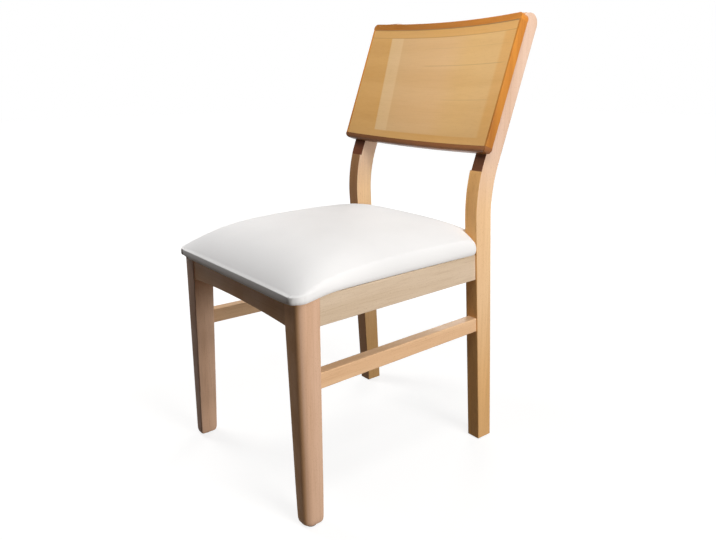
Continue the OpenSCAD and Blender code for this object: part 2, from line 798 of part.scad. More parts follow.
// Cover: one thin cloth, from its margin under the board, over the crown and back inside
module seat_cover() {
  inside = pad_rings(cloth_t);
  outside = pad_rings(0);
  margin_in = margin_w;
  down = concat(
    [ring_flat(margin_in, pad_base, 0)],
    [ring_flat(roll_in, pad_base, 0)],
    outside
  );
  up = concat(
    [ring_flat(margin_in, pad_base + cloth_t, 0)],
    [ring_flat(roll_in + cloth_t, pad_base + cloth_t, 0)],
    inside
  );
  n = len(down[0]);
  m = len(down);
  // The two skins share the cut edge of the margin
  points = concat(
    [for (r = down) each r],
    [[0, pad_mid_y, pad_z(0, pad_mid_y)]],
    [for (r = up) each r],
    [[0, pad_mid_y, pad_z(0, pad_mid_y) - cloth_t]]
  );
  first = n * m + 1;
  color(cloth_white) place() polyhedron(
    points = points,
    faces = concat(
      ring_faces(n, m),
      cap_faces(n, n * (m - 1), n * m, true),
      [for (f = ring_faces(n, m)) [f[2] + first, f[1] + first, f[0] + first]],
      cap_faces(n, first + n * (m - 1), first + n * m, false),
      [for (j = [0 : n - 1]) let (a = j, b = (j + 1) % n)
        each [[a, b, b + first], [a, b + first, a + first]]]
    )
  );
}

// Staple crowns that hold the cover's margin under the board
staple_edge = 6;
staple_in = margin_w - staple_edge;
staple_pitch = 62;
module staple_row(x0, y0, x1, y1) {
  n = max(1, floor(norm([x1 - x0, y1 - y0]) / staple_pitch));
  a = atan2(y1 - y0, x1 - x0);
  for (k = [0 : n - 1]) {
    s = (k + 0.5) / n;
    translate([x0 + (x1 - x0) * s, y0 + (y1 - y0) * s, pad_base - staple_t])
      rotate([0, 0, a]) translate([-staple_w / 2, -staple_t, 0])
        cube([staple_w, 2 * staple_t, staple_t]);
  }
}

staple_front_y = staple_in - pad_front_over;
staple_side_y0 = staple_front_y + staple_w;
staple_side_y1 = post_front_y(rail_top) - staple_in - staple_w;
staple_rear_x = post_in - staple_in - staple_w / 2;
module seat_staples() {
  x0 = pad_half(staple_side_y0) - staple_in;
  x1 = pad_half(staple_side_y1) - staple_in;
  color(steel) place() {
    staple_row(staple_w - x0, staple_front_y, x0 - staple_w, staple_front_y);
    both_sides() staple_row(x0 - pad_draw, staple_side_y0, x1 - pad_draw, staple_side_y1);
    staple_row(-staple_rear_x, pad_rear_y - staple_in, staple_rear_x, pad_rear_y - staple_in);
  }
}

// Thin black sheet that closes the underside of the seat
module dust_cover() {
  color(dust_black) place() translate([0, 0, board_bottom - soft_gap / 2 - dust_t])
    linear_extrude(height = dust_t) polygon(pad_outline(margin_w + overrun, rail_top));
}

module corner_block_screws() {
  color(steel) place() both_sides() for (which = [0, 1]) {
    front_block_screws(0, which);
    rear_block_screws(0, which);
  }
}

module seat_screws() {
  color(steel) place() both_sides() for (rear = [false, true])
    seat_screw_place(rear) seat_screw(0);
}

module back_screws() {
  color(steel) place() both_sides() at_panel() panel_screw_places() {
    translate([0, 0, panel_back_w - panel_screw_bite])
      cylinder(d = screw_d, h = panel_screw_bite + screw_reach - screw_head_h, $fn = fine);
    translate([0, 0, panel_back_w + screw_reach - screw_head_h])
      cylinder(d = screw_head_d, h = screw_head_h, $fn = fine);
  }
}

module post_plugs() {
  color(plug_beech) place() both_sides() at_panel() panel_screw_places()
    translate([0, 0, panel_back_w + screw_reach])
      cylinder(d = screw_head_d, h = plug_t - fit_gap, $fn = fine);
}

module rail_dowels() {
  color(plug_beech) place() both_sides() {
    front_rail_dowels(0);
    side_rail_dowels(0);
    rear_rail_dowels(0);
  }
}

module stretcher_dowels() {
  color(plug_beech) place() both_sides() stretcher_dowel_set(0);
}

module glide(x, y) {
  translate([x, y, 0]) {
    cylinder(d1 = glide_d - glide_t, d2 = glide_d, h = glide_t / 2, $fn = fine);
    translate([0, 0, glide_t / 2]) cylinder(d = glide_d, h = glide_t / 2, $fn = fine);
    translate([0, 0, glide_t / 2]) cylinder(d = nail_d, h = glide_t / 2 + nail_h, $fn = fine);
  }
}

module foot_glides() {
  color(nylon_brown) place() both_sides() {
    glide(glide_x_front, glide_y_front);
    glide(glide_x_rear, glide_y_rear);
  }
}

front_leg(-1);  // front_leg_left
front_leg(1);  // front_leg_right
rear_post(-1);  // rear_post_left
rear_post(1);  // rear_post_right
front_rail();
rear_rail();
side_rail(-1);  // side_rail_left
side_rail(1);  // side_rail_right
side_stretcher(-1);  // side_stretcher_left
side_stretcher(1);  // side_stretcher_right
back_panel();
back_lipping_top();
back_lipping_bottom();
back_lipping_end(-1);  // back_lipping_left
back_lipping_end(1);  // back_lipping_right
seat_board();
seat_foam();
seat_cover();
seat_staples();
dust_cover();
corner_block_front(-1);  // corner_block_front_left
corner_block_front(1);  // corner_block_front_right
corner_block_rear(-1);  // corner_block_rear_left
corner_block_rear(1);  // corner_block_rear_right
corner_block_screws();
seat_screws();
back_screws();
post_plugs();
rail_dowels();
stretcher_dowels();
foot_glides();
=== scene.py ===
import math

import bmesh
import bpy
import numpy as np
from mathutils import Matrix, Vector, kdtree


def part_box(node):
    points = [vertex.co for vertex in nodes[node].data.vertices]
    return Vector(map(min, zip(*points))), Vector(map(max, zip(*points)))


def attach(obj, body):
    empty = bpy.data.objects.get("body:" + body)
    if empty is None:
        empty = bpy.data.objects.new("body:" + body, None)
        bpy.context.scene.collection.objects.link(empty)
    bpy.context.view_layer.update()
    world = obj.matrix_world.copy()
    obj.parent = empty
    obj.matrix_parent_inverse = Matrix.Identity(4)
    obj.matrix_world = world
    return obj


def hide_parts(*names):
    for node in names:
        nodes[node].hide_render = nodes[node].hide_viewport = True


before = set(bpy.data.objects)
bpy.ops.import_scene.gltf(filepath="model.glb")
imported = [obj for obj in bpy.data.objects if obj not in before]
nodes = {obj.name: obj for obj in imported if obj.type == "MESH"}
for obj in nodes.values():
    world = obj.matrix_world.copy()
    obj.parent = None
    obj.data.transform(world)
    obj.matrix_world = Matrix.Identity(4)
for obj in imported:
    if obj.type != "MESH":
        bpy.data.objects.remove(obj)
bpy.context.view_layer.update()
MM = 0.001

# Places that the frame gives
rail_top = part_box("side_rail_right")[1].z
front_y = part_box("front_leg_right")[0].y
post_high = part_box("rear_post_right")[1]
pad_rear_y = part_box("seat_cover")[1].y

# How close points may lie before they count as one: in most pieces, and in the fine lippings
WELD, FINE_WELD = 0.01 * MM, 0.001 * MM


def new_piece(name, mesh, slot, *stands_for):
    """Links a mesh as a piece of the chair, which may replace CAD nodes."""
    piece = bpy.data.objects.new(name, mesh)
    bpy.context.scene.collection.objects.link(piece)
    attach(piece, "root")
    if stands_for:
        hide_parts(*stands_for)
    return piece


def mesh_from(name, points, faces):
    """A mesh of points and faces."""
    mesh = bpy.data.meshes.new(name)
    mesh.from_pydata([tuple(p) for p in points], [], [tuple(f) for f in faces])
    mesh.validate()
    mesh.update()
    return mesh


def shade(mesh, angle=30):
    """Smooth shading, with sharp edges past an angle."""
    mesh.polygons.foreach_set("use_smooth", [True] * len(mesh.polygons))
    mesh.set_sharp_from_angle(angle=math.radians(angle))


def made_mesh(piece):
    """The mesh that a piece's modifiers make."""
    bpy.context.view_layer.update()
    graph = bpy.context.evaluated_depsgraph_get()
    return bpy.data.meshes.new_from_object(piece.evaluated_get(graph), depsgraph=graph)


def apply_modifiers(piece):
    """Keeps what a piece's modifiers make as its own mesh."""
    made = made_mesh(piece)
    piece.modifiers.clear()
    piece.data = made


def places(mesh):
    """The places of a mesh's points, one row for each."""
    flat = np.empty(len(mesh.vertices) * 3)
    mesh.vertices.foreach_get("co", flat)
    return flat.reshape(-1, 3)


def ring_faces(rings, around):
    """Quads between rings that follow each other."""
    faces = []
    for k in range(rings - 1):
        for j in range(around):
            a, b = k * around + j, k * around + (j + 1) % around
            faces.append((a, b, b + around, a + around))
    return faces


def close_up(mesh, distance):
    """Joins points that lie together, and turns all faces outwards."""
    work = bmesh.new()
    work.from_mesh(mesh)
    bmesh.ops.remove_doubles(work, verts=work.verts, dist=distance)
    bmesh.ops.recalc_face_normals(work, faces=work.faces)
    work.to_mesh(mesh)
    work.free()


# The back panel, as the CAD has it: v runs up its slope, from its bottom front edge
LEAN = math.radians(20)
PANEL_H = 278 * MM
PANEL_HALF = 220 * MM
PANEL_T = 21 * MM
PANEL_R = 1283.18 * MM
PANEL_CORNER = 9 * MM
PANEL_ARRIS = 1.4 * MM
LIP_TOP, LIP_BOTTOM = 14 * MM, 11.5 * MM
PANEL_BOTTOM_Z = 633 * MM
PANEL_BACK = 451.967 * MM
PANEL_Y = front_y + PANEL_BACK
# The posts' rebate goes on below the panel
REBATE_BELOW = 35 * MM


def up_panel(point):
    """How far a point lies up the panel's slope."""
    return (point.y - PANEL_Y) * math.sin(LEAN) + (point.z - PANEL_BOTTOM_Z) * math.cos(LEAN)


# Materials


class Nodes:
    """Builds a material's node tree with few words."""

    def __init__(self, name):
        self.material = bpy.data.materials.new(name)
        self.material.use_nodes = True
        self.tree = self.material.node_tree
        self.shader = self.tree.nodes["Principled BSDF"]

    def add(self, kind, inputs=None, **settings):
        """A node with its settings, and with values or links for its inputs."""
        node = self.tree.nodes.new(kind)
        for key, value in settings.items():
            setattr(node, key, value)
        for key, value in (inputs or {}).items():
            self.put(node.inputs[key], value)
        return node

    def put(self, socket, value):
        """Links another socket to this one, or gives it a value."""
        if isinstance(value, bpy.types.NodeSocket):
            self.tree.links.new(value, socket)
        else:
            socket.default_value = value

    def place(self):
        """Object coordinates, which are metres in the shared frame."""
        return self.add("ShaderNodeTexCoord").outputs["Object"]

    def split(self, vector, axis):
        """One axis of a vector."""
        return self.add("ShaderNodeSeparateXYZ", {"Vector": vector}).outputs[axis]

    def stretch(self, vector, scale, rotation=(0, 0, 0)):
        inputs = {"Vector": vector, "Scale": scale, "Rotation": rotation}
        return self.add("ShaderNodeMapping", inputs).outputs["Vector"]

    def noise(self, vector, scale, detail=3, roughness=0.5, distortion=0):
        inputs = {"Vector": vector, "Scale": scale, "Detail": detail,
                  "Roughness": roughness, "Distortion": distortion}
        return self.add("ShaderNodeTexNoise", inputs).outputs["Fac"]

    def ramp(self, value, low, high, bottom=0.0, top=1.0):
        """A soft change from bottom to top, as a value goes from low to high."""
        inputs = {"Value": value, "From Min": low, "From Max": high,
                  "To Min": bottom, "To Max": top}
        node = self.add("ShaderNodeMapRange", inputs, interpolation_type="SMOOTHSTEP")
        return node.outputs["Result"]

    def math(self, operation, a, b=0.0, c=0.0):
        node = self.add("ShaderNodeMath", operation=operation)
        for socket, value in zip(node.inputs, (a, b, c)):
            self.put(socket, value)
        return node.outputs["Value"]

    def times(self, *values):
        """All values multiplied."""
        total = values[0]
        for value in values[1:]:
            total = self.math("MULTIPLY", total, value)
        return total

    def mix(self, factor, a, b, blend="MIX"):
        """Colour a, which goes over to b (or to both blended) as the factor goes to 1."""
        node = self.add("ShaderNodeMix", data_type="RGBA", blend_type=blend)
        self.put(node.inputs["Factor"], factor)
        self.put(node.inputs[6], a)
        self.put(node.inputs[7], b)
        return node.outputs[2]

    def bump(self, height, strength, distance, normal=None):
        inputs = {"Height": height, "Strength": strength, "Distance": distance}
        if normal is not None:
            inputs["Normal"] = normal
        return self.add("ShaderNodeBump", inputs).outputs["Normal"]

    def finish(self, **values):
        """Sets the shader's inputs, by their names with underscores, and gives the material."""
        for key, value in values.items():
            self.put(self.shader.inputs[key.replace("_", " ")], value)
        return self.material


def rgb(red, green, blue):
    """A solid colour, in linear light."""
    return (red, green, blue, 1.0)


# Turns the grain's run into the mapping's x axis
GRAIN_TURN = {
    "x": (0, 0, 0),
    "y": (0, 0, math.radians(90)),
    "z": (0, math.radians(90), 0),
}
# How often the grain's tones, lines and flecks repeat in a metre: along it, then across
TONE_RUN = (1.6, 24, 24)
LINE_RUN = (5, 420, 420)
FLECK_RUN = (260, 1500, 1500)
LINE_TINT, LINE_SHARE, LINE_BUMP, LINE_DEPTH = rgb(0.80, 0.74, 0.68), 0.45, 0.05, 0.4 * MM
FLECK_TINT, FLECK_SHARE, FLECK_BUMP, FLECK_DEPTH = rgb(0.62, 0.52, 0.44), 0.5, 0.06, 0.3 * MM


def wood_grain(made, grain):
    """Broad tone, fine lines and short flecks of straight-grained wood, each 0 to 1."""
    turned = made.stretch(made.place(), (1, 1, 1), GRAIN_TURN[grain])
    broad = made.noise(made.stretch(turned, TONE_RUN), 1, 4, 0.55, 0.3)
    lines = made.noise(made.stretch(turned, LINE_RUN), 1, 3, 0.6)
    flecks = made.noise(made.stretch(turned, FLECK_RUN), 1, 2, 0.45)
    return (
        made.ramp(broad, 0.34, 0.68),
        made.ramp(lines, 0.45, 0.72),
        made.ramp(flecks, 0.60, 0.72),
    )


def dress_wood(made, tone, lines, flecks, rough, streak=1.0, specular=0.12, coat=0.0):
    """Adds the fine grain, pores and worn lacquer to a broad tone."""
    darker = made.mix(1.0, tone, LINE_TINT, "MULTIPLY")
    tone = made.mix(made.times(lines, LINE_SHARE * streak), tone, darker)
    fleck = made.mix(1.0, tone, FLECK_TINT, "MULTIPLY")
    tone = made.mix(made.times(flecks, FLECK_SHARE * streak), tone, fleck)
    pores = made.bump(made.math("SUBTRACT", 1.0, lines), LINE_BUMP * streak, LINE_DEPTH)
    pores = made.bump(made.math("SUBTRACT", 1.0, flecks), FLECK_BUMP * streak, FLECK_DEPTH, pores)
    rubbed = made.noise(made.place(), 14, 4, 0.6)
    worn = made.ramp(rubbed, 0.3, 0.75, rough - 0.06, rough + 0.08)
    return made.finish(
        Base_Color=tone,
        Roughness=worn,
        Normal=pores,
        Specular_IOR_Level=specular,
        Coat_Weight=coat,
        Coat_Roughness=0.12,
    )


def facing(made):
    """1 on the faces that look to the front or back, where the grain shows its flat side; on legs
    and rails their tone there is partly painted shade.
    """
    normal = made.add("ShaderNodeNewGeometry").outputs["Normal"]
    return made.ramp(made.math("ABSOLUTE", made.split(normal, "Y")), 0.6, 0.92)


def front_side(made):
    """1 on the faces that look to the front only."""
    normal = made.add("ShaderNodeNewGeometry").outputs["Normal"]
    return made.ramp(made.times(made.split(normal, "Y"), -1.0), 0.45, 0.8)


def up_slope(made):
    """Height up the back panel's slope, from its bottom edge."""
    slope = (0, math.sin(LEAN), math.cos(LEAN))
    inputs = {0: made.place(), 1: slope}
    along_slope = made.add("ShaderNodeVectorMath", inputs, operation="DOT_PRODUCT")
    foot = PANEL_Y * math.sin(LEAN) + PANEL_BOTTOM_Z * math.cos(LEAN)
    return made.math("SUBTRACT", along_slope.outputs["Value"], foot)


# Half the width of an edge's soft change, where no other is given
BLUR = 1.2 * MM


def past(made, value, edge, blur=BLUR):
    """1 past an edge, 0 before it."""
    return made.ramp(value, edge - blur, edge + blur)


def between(made, value, low, high, blur=BLUR):
    """1 between two edges, 0 outside them."""
    upper = made.math("SUBTRACT", 1.0, past(made, value, high, blur))
    return made.times(past(made, value, low, blur), upper)


def far_side_painted_light(made, tone, side, front):
    """Painted light and shade: multiplies the tone of the left pieces' sides and fronts by given
    shares.
    """
    shares = made.mix(front_side(made), rgb(*side), rgb(*front))
    changed = made.mix(1.0, tone, shares, "MULTIPLY")
    left = made.ramp(made.split(made.place(), "X"), 50 * MM, -50 * MM)
    return made.mix(left, tone, changed)


def lacquered_wood(name, grain, light, dark, flat=None, fade=None, far=None, **finish):
    """Straight-grained wood.

    flat is its tone on front and rear faces, on legs and rails partly painted shade,
    fade its change across or up the back, painted light and shade on the top and under lippings,
    and far its painted light and shade on the left pieces' sides and fronts.
    """
    made = Nodes(name)
    broad, lines, flecks = wood_grain(made, grain)
    tone = made.mix(broad, light, dark)
    if flat:
        tone = made.mix(facing(made), tone, flat)
    # fade: painted light and shade across the top and under lippings
    if fade:
        run = up_slope(made) if grain == "z" else made.split(made.place(), "X")
        tone = made.mix(1.0, tone, made.ramp(run, *fade), "MULTIPLY")
    # far: painted light and shade on the left pieces' sides and fronts
    if far:
        tone = far_side_painted_light(made, tone, *far)
    finish.setdefault("rough", 0.5)
    return dress_wood(made, tone, lines, flecks, **finish)


# A post's tones, light and dark: at the panel, above the seat, at the foot, and on its front
POST_UPPER = (rgb(0.76, 0.55, 0.43), rgb(0.70, 0.48, 0.35))
POST_MIDDLE = (rgb(0.83, 0.56, 0.32), rgb(0.76, 0.49, 0.27))
POST_FOOT = (rgb(0.78, 0.47, 0.21), rgb(0.70, 0.41, 0.17))
POST_FRONT = (rgb(0.84, 0.48, 0.19), rgb(0.76, 0.41, 0.15))
# Painted light and shade on the left post: shares for its sides, then for its fronts
POST_FAR_PAINTED_LIGHT = ((1.15, 1.18, 1.2), (0.36, 0.34, 0.40))
UPPER_FADE = (500 * MM, 660 * MM)
FOOT_FADE = (360 * MM, 100 * MM)
# A painted shadow of the panel on the posts' rebate: its colour, and its share
REBATE_PAINTED_SHADOW, REBATE_SHADOW_SHARE = rgb(0.125, 0.04, 0.018), 0.96


def post_wood(name):
    """Beech that runs from a pink tone at the back panel to a golden one at the foot."""
    made = Nodes(name)
    broad, lines, flecks = wood_grain(made, "z")
    height = made.split(made.place(), "Z")
    upper = made.mix(broad, *POST_UPPER)
    middle = made.mix(broad, *POST_MIDDLE)
    tone = made.mix(made.ramp(height, *UPPER_FADE), middle, upper)
    tone = made.mix(made.ramp(height, *FOOT_FADE), tone, made.mix(broad, *POST_FOOT))
    tone = made.mix(facing(made), tone, made.mix(broad, *POST_FRONT))
    # Painted light and shade on the left post's sides and fronts
    tone = far_side_painted_light(made, tone, *POST_FAR_PAINTED_LIGHT)
    # The rebate's floor, which shows below the panel, gets a painted shadow of the panel
    rebate = between(made, up_slope(made), -REBATE_BELOW, 0)
    tone = made.mix(made.times(front_side(made), rebate, REBATE_SHADOW_SHARE), tone, REBATE_PAINTED_SHADOW)
    return dress_wood(made, tone, lines, flecks, 0.48)


# The veneer's field of paler leaves, partly a painted reflection of the gloss: places up the
# slope, and across the panel from its middle
FIELD_LOW, FIELD_HIGH = 27 * MM, 243 * MM
FIELD_LEFT, FIELD_RIGHT = 131.1 * MM, 186 * MM
FIELD_SLANT = 0.0952
REFLECTION_LEAF_W = 36 * MM
REFLECTION_LEAF_BLUR, EDGE_BLUR = 2 * MM, 5 * MM
WARM_FROM, WARM_BLUR = 60 * MM, 45 * MM
# Painted shade on the veneer, which gets darker towards the left and the bottom edge: places, then
# shares
LEFT_PAINTED_SHADE = (-260 * MM, 140 * MM, 0.78, 1.03)
BOTTOM_PAINTED_SHADE = (-10 * MM, 90 * MM, 0.88, 1.0)
# A dark strip and a joint above the field: lower and upper edge, blur; then their strengths
TOP_STRIP = (261.5 * MM, 265 * MM, 0.7 * MM)
TOP_JOINT = (243.2 * MM, 244.8 * MM, 0.8 * MM)
STRIP_SHARE, TOP_JOINT_SHARE = 0.75, 0.30
# Fine joints between the leaves: height, left end, right end and strength
LEAF_JOINTS = (
    (179 * MM, -32 * MM, 204 * MM, 0.28),
    (104 * MM, 49 * MM, 188 * MM, 0.18),
    (218 * MM, -45 * MM, 204 * MM, 0.10),
)
JOINT_HALF, JOINT_BLUR, JOINT_FADE = 0.7 * MM, 0.8 * MM, 12 * MM
JOINT_TINT = rgb(0.25, 0.11, 0.02)
# The veneer's tones, light and dark; the pale ones are a painted reflection
BORDER_TONES = (rgb(0.80, 0.445, 0.135), rgb(0.74, 0.395, 0.105))
CENTRE_TONES = (rgb(0.83, 0.52, 0.235), rgb(0.79, 0.475, 0.20))
PALE_REFLECTION_TONES = (rgb(0.88, 0.59, 0.29), rgb(0.85, 0.56, 0.265))
WARM_TONES = (rgb(0.82, 0.51, 0.195), rgb(0.77, 0.46, 0.165))


def leaf_joints(made, across, up):
    """The dark lines of the veneer: 1 on a joint at full strength, 0 beside it."""
    seam = made.times(between(made, up, *TOP_JOINT), TOP_JOINT_SHARE)
    for level, start, stop, share in LEAF_JOINTS:
        joint = made.times(
            between(made, up, level - JOINT_HALF, level + JOINT_HALF, JOINT_BLUR),
            between(made, across, start, stop, JOINT_FADE),
            share,
        )
        seam = made.math("MAXIMUM", seam, joint)
    strip = made.times(between(made, up, *TOP_STRIP), STRIP_SHARE)
    return made.math("MAXIMUM", seam, strip)


def veneer():
    """Golden veneer under gloss lacquer: a darker border, and a field of paler leaves that is
    partly a painted reflection.
    """
    made = Nodes("back_veneer")
    broad, lines, flecks = wood_grain(made, "x")
    across = made.split(made.place(), "X")
    up = up_slope(made)
    # The leaves' left edges lean a little, as the painted reflection does
    from_edge = made.math("MULTIPLY_ADD", up, FIELD_SLANT, FIELD_LEFT)
    from_edge = made.math("ADD", from_edge, across)
    rows = between(made, up, FIELD_LOW, FIELD_HIGH)
    front = front_side(made)
    field = made.times(past(made, from_edge, 0), rows, front)
    # The first leaf's paler tone is a painted reflection
    reflection_leaf = made.times(between(made, from_edge, 0, REFLECTION_LEAF_W, REFLECTION_LEAF_BLUR), rows, front)
    right = made.times(past(made, across, WARM_FROM, WARM_BLUR), rows, front)
    edge = past(made, across, FIELD_RIGHT, EDGE_BLUR)
    tones = (BORDER_TONES, CENTRE_TONES, PALE_REFLECTION_TONES, WARM_TONES)
    border, centre, pale, warm = (made.mix(broad, *pair) for pair in tones)
    tone = made.mix(field, border, centre)
    tone = made.mix(right, tone, warm)
    tone = made.mix(reflection_leaf, tone, pale)
    tone = made.mix(edge, tone, border)
    # Painted shade towards the left and the bottom edge
    tone = made.mix(1.0, tone, made.ramp(across, *LEFT_PAINTED_SHADE), "MULTIPLY")
    tone = made.mix(1.0, tone, made.ramp(up, *BOTTOM_PAINTED_SHADE), "MULTIPLY")
    seam = made.times(leaf_joints(made, across, up), front)
    tone = made.mix(seam, tone, JOINT_TINT)
    return dress_wood(made, tone, lines, flecks, 0.34, streak=0.4, specular=0.25, coat=0.35)


CLOTH_TONES = (rgb(0.84, 0.845, 0.86), rgb(0.82, 0.825, 0.84))
# Painted light on the cloth towards the front: its share, and where it fades in
CLOTH_PAINTED_LIGHT = rgb(1.09, 1.09, 1.09)
CLOTH_LIGHT_PLACES = (-80 * MM, -240 * MM)
THREADS = 420
WEAVE_DEPTH, SLUB_DEPTH = 0.3 * MM, 0.5 * MM


def cloth():
    """White close-woven cloth, with painted light that makes it a little paler towards the front.
    """
    made = Nodes("seat_cloth")
    place = made.place()
    broad = made.noise(place, 9)
    tone = made.mix(made.ramp(broad, 0.3, 0.7), *CLOTH_TONES)
    # Painted light, paler towards the front
    lit_tone = made.mix(1.0, tone, CLOTH_PAINTED_LIGHT, "MULTIPLY")
    tone = made.mix(made.ramp(made.split(place, "Y"), *CLOTH_LIGHT_PLACES), tone, lit_tone)
    weave = None
    for run in ("X", "Y"):
        threads = made.add(
            "ShaderNodeTexWave",
            {"Vector": place, "Scale": THREADS, "Distortion": 0.6, "Detail": 1, "Detail Scale": 3},
            bands_direction=run,
        ).outputs["Fac"]
        weave = threads if weave is None else made.math("MAXIMUM", weave, threads)
    slub = made.noise(place, 240, 2)
    surface = made.bump(weave, 0.12, WEAVE_DEPTH)
    surface = made.bump(slub, 0.05, SLUB_DEPTH, surface)
    return made.finish(
        Base_Color=tone,
        Roughness=made.ramp(broad, 0.3, 0.7, 0.8, 0.9),
        Normal=surface,
        Specular_IOR_Level=0.2,
        Sheen_Weight=0.06,
        Sheen_Roughness=0.5,
    )


GRAINED_DEPTH = 0.4 * MM


def grained(name, low, high, scale, roughness, bump=0.1, metallic=0.0):
    """Two tones mixed by noise, for foam, nylon, steel and the dust cover."""
    made = Nodes(name)
    grain = made.noise(made.place(), scale, 4)
    return made.finish(
        Base_Color=made.mix(made.ramp(grain, 0.3, 0.7), low, high),
        Roughness=made.ramp(grain, 0.3, 0.7, roughness - 0.06, roughness + 0.06),
        Normal=made.bump(grain, bump, GRAINED_DEPTH),
        Metallic=metallic,
    )


PLY_TONES = (rgb(0.66, 0.50, 0.31), rgb(0.58, 0.42, 0.25))
PLY_GLUE = rgb(0.38, 0.24, 0.13)
PLY_LAYERS = 190


def plywood():
    """Pale birch ply, with its layers in the edge."""
    made = Nodes("plywood")
    broad, lines, flecks = wood_grain(made, "x")
    layers = made.add(
        "ShaderNodeTexWave", {"Vector": made.place(), "Scale": PLY_LAYERS, "Distortion": 0.5},
        bands_direction="Z",
    ).outputs["Fac"]
    tone = made.mix(broad, *PLY_TONES)
    tone = made.mix(made.times(layers, 0.35), tone, PLY_GLUE)
    return dress_wood(made, tone, lines, flecks, 0.7)


# Tones and finishes of the other wooden pieces
# The legs' and rails' darker flat tone on front and rear faces is partly the grain's flat side,
# partly painted shade
LEG = dict(light=rgb(0.73, 0.485, 0.34), dark=rgb(0.65, 0.41, 0.27), flat=rgb(0.66, 0.38, 0.20))
# Painted light and shade on the left leg: shares for its sides, then for its fronts
LEG_FAR_PAINTED_LIGHT = ((1.28, 1.32, 1.36), (0.5, 0.5, 0.6))
CROSS = dict(light=LEG["light"], dark=LEG["dark"], flat=rgb(0.54, 0.31, 0.165))
SIDE = dict(light=rgb(0.68, 0.545, 0.41), dark=rgb(0.61, 0.475, 0.34))
BAR = dict(light=rgb(0.83, 0.56, 0.34), dark=rgb(0.75, 0.48, 0.28))
GLOSS = dict(rough=0.36, specular=0.15, coat=0.12)
LIP = dict(light=rgb(0.66, 0.26, 0.035), dark=rgb(0.53, 0.19, 0.025), **GLOSS)
# The under lipping's tones are darkened: painted shade of its downward face
UNDER_LIP_PAINTED_SHADE = dict(light=rgb(0.27, 0.10, 0.028), dark=rgb(0.18, 0.065, 0.02), **GLOSS)
RAW = dict(light=rgb(0.64, 0.46, 0.28), dark=rgb(0.52, 0.35, 0.20), rough=0.75)
# Where the lippings' tones change, across and up the back: places, then shares. Across the top and
# under lippings this is painted light and shade, darker to the left and lighter to the right
TOP_LIP_PAINTED_LIGHT = (-200 * MM, 200 * MM, 0.66, 1.15)
LIP_END_FADE = (0, 220 * MM, 0.78, 1.0)
UNDER_LIP_PAINTED_LIGHT = (-200 * MM, 200 * MM, 0.6, 1.2)

MATERIALS = {
    "leg": lacquered_wood("beech_upright", "z", far=LEG_FAR_PAINTED_LIGHT, **LEG),
    "cross": lacquered_wood("beech_across", "x", **CROSS),
    "side": lacquered_wood("beech_side_rail", "y", **SIDE),
    "post": post_wood("beech_post"),
    "bar": lacquered_wood("beech_stretcher", "y", **BAR),
    "lip_x": lacquered_wood("lipping_across", "x", fade=TOP_LIP_PAINTED_LIGHT, **LIP),
    "lip_z": lacquered_wood("lipping_upright", "z", fade=LIP_END_FADE, **LIP),
    "lip_under_painted_shade": lacquered_wood("lipping_under_painted_shade", "x", fade=UNDER_LIP_PAINTED_LIGHT, **UNDER_LIP_PAINTED_SHADE),
    "block": lacquered_wood("raw_block", "x", **RAW),
    "dowel": lacquered_wood("raw_dowel", "y", **RAW),
    "veneer": veneer(),
    "cloth": cloth(),
    "plywood": plywood(),
    "foam": grained("foam", rgb(0.82, 0.74, 0.50), rgb(0.70, 0.60, 0.36), 700, 0.95, 0.4),
    "dust": grained("dust_cloth", rgb(0.03, 0.03, 0.033), rgb(0.018, 0.018, 0.02), 900, 0.9, 0.3),
    "nylon": grained("glide_nylon", rgb(0.10, 0.06, 0.04), rgb(0.07, 0.04, 0.03), 300, 0.5),
    "steel": grained("steel", rgb(0.60, 0.60, 0.60), rgb(0.45, 0.45, 0.46), 500, 0.35, 0.05, 1.0),
}

# Front legs: lofted, with a foot that is rounded all round and a little fuller than the CAD's

LEG_W, LEG_D = 44 * MM, 44 * MM
FOOT_W, FOOT_D = 32.5 * MM, 38 * MM
FOOT_BACK = 2 * MM
FOOT_ROUND_H = 15 * MM
FOOT_ROUND_IN = 4.5 * MM
FOOT_CURVE = 1.3
GLIDE_T = 3 * MM
LEG_CORNER, LEG_EDGE, FOOT_EDGE = 14.5 * MM, 3 * MM, 5 * MM
EDGE_FADE_Z = 90 * MM
LEG_TOP_OUT = 218 * MM
FOOT_OUT = LEG_TOP_OUT + 6.5 * MM
TAPER_Z = 373 * MM
CORNER_STEPS, FOOT_STEPS, TAPER_STEPS = 12, 10, 23


def leg_section(x_out, x_in, y_front, y_back, z):
    """Outline of a leg at a height: one large outer front radius, three small ones."""
    low = max(0.0, 1 - z / EDGE_FADE_Z)
    edge = LEG_EDGE + (FOOT_EDGE - LEG_EDGE) * low * low
    corners = [
        (x_out - LEG_CORNER, y_front + LEG_CORNER, LEG_CORNER, -90),
        (x_out - edge, y_back - edge, edge, 0),
        (x_in + edge, y_back - edge, edge, 90),
        (x_in + edge, y_front + edge, edge, 180),
    ]
    points = []
    for x, y, radius, start in corners:
        for k in range(CORNER_STEPS + 1):
            a = math.radians(start + 90 * k / CORNER_STEPS)
            points.append((x + radius * math.cos(a), y + radius * math.sin(a), z))
    return points


def leg_ring(z, inset=0.0):
    """A leg's outline at a height below its taper's top."""
    t = (z - GLIDE_T) / (TAPER_Z - GLIDE_T)
    out = FOOT_OUT + (LEG_TOP_OUT - FOOT_OUT) * t
    width = FOOT_W + (LEG_W - FOOT_W) * t
    front = front_y + FOOT_BACK * (1 - t)
    depth = FOOT_D + (LEG_D - FOOT_D) * t
    return leg_section(out - inset, out - width + inset, front + inset, front + depth - inset, z)


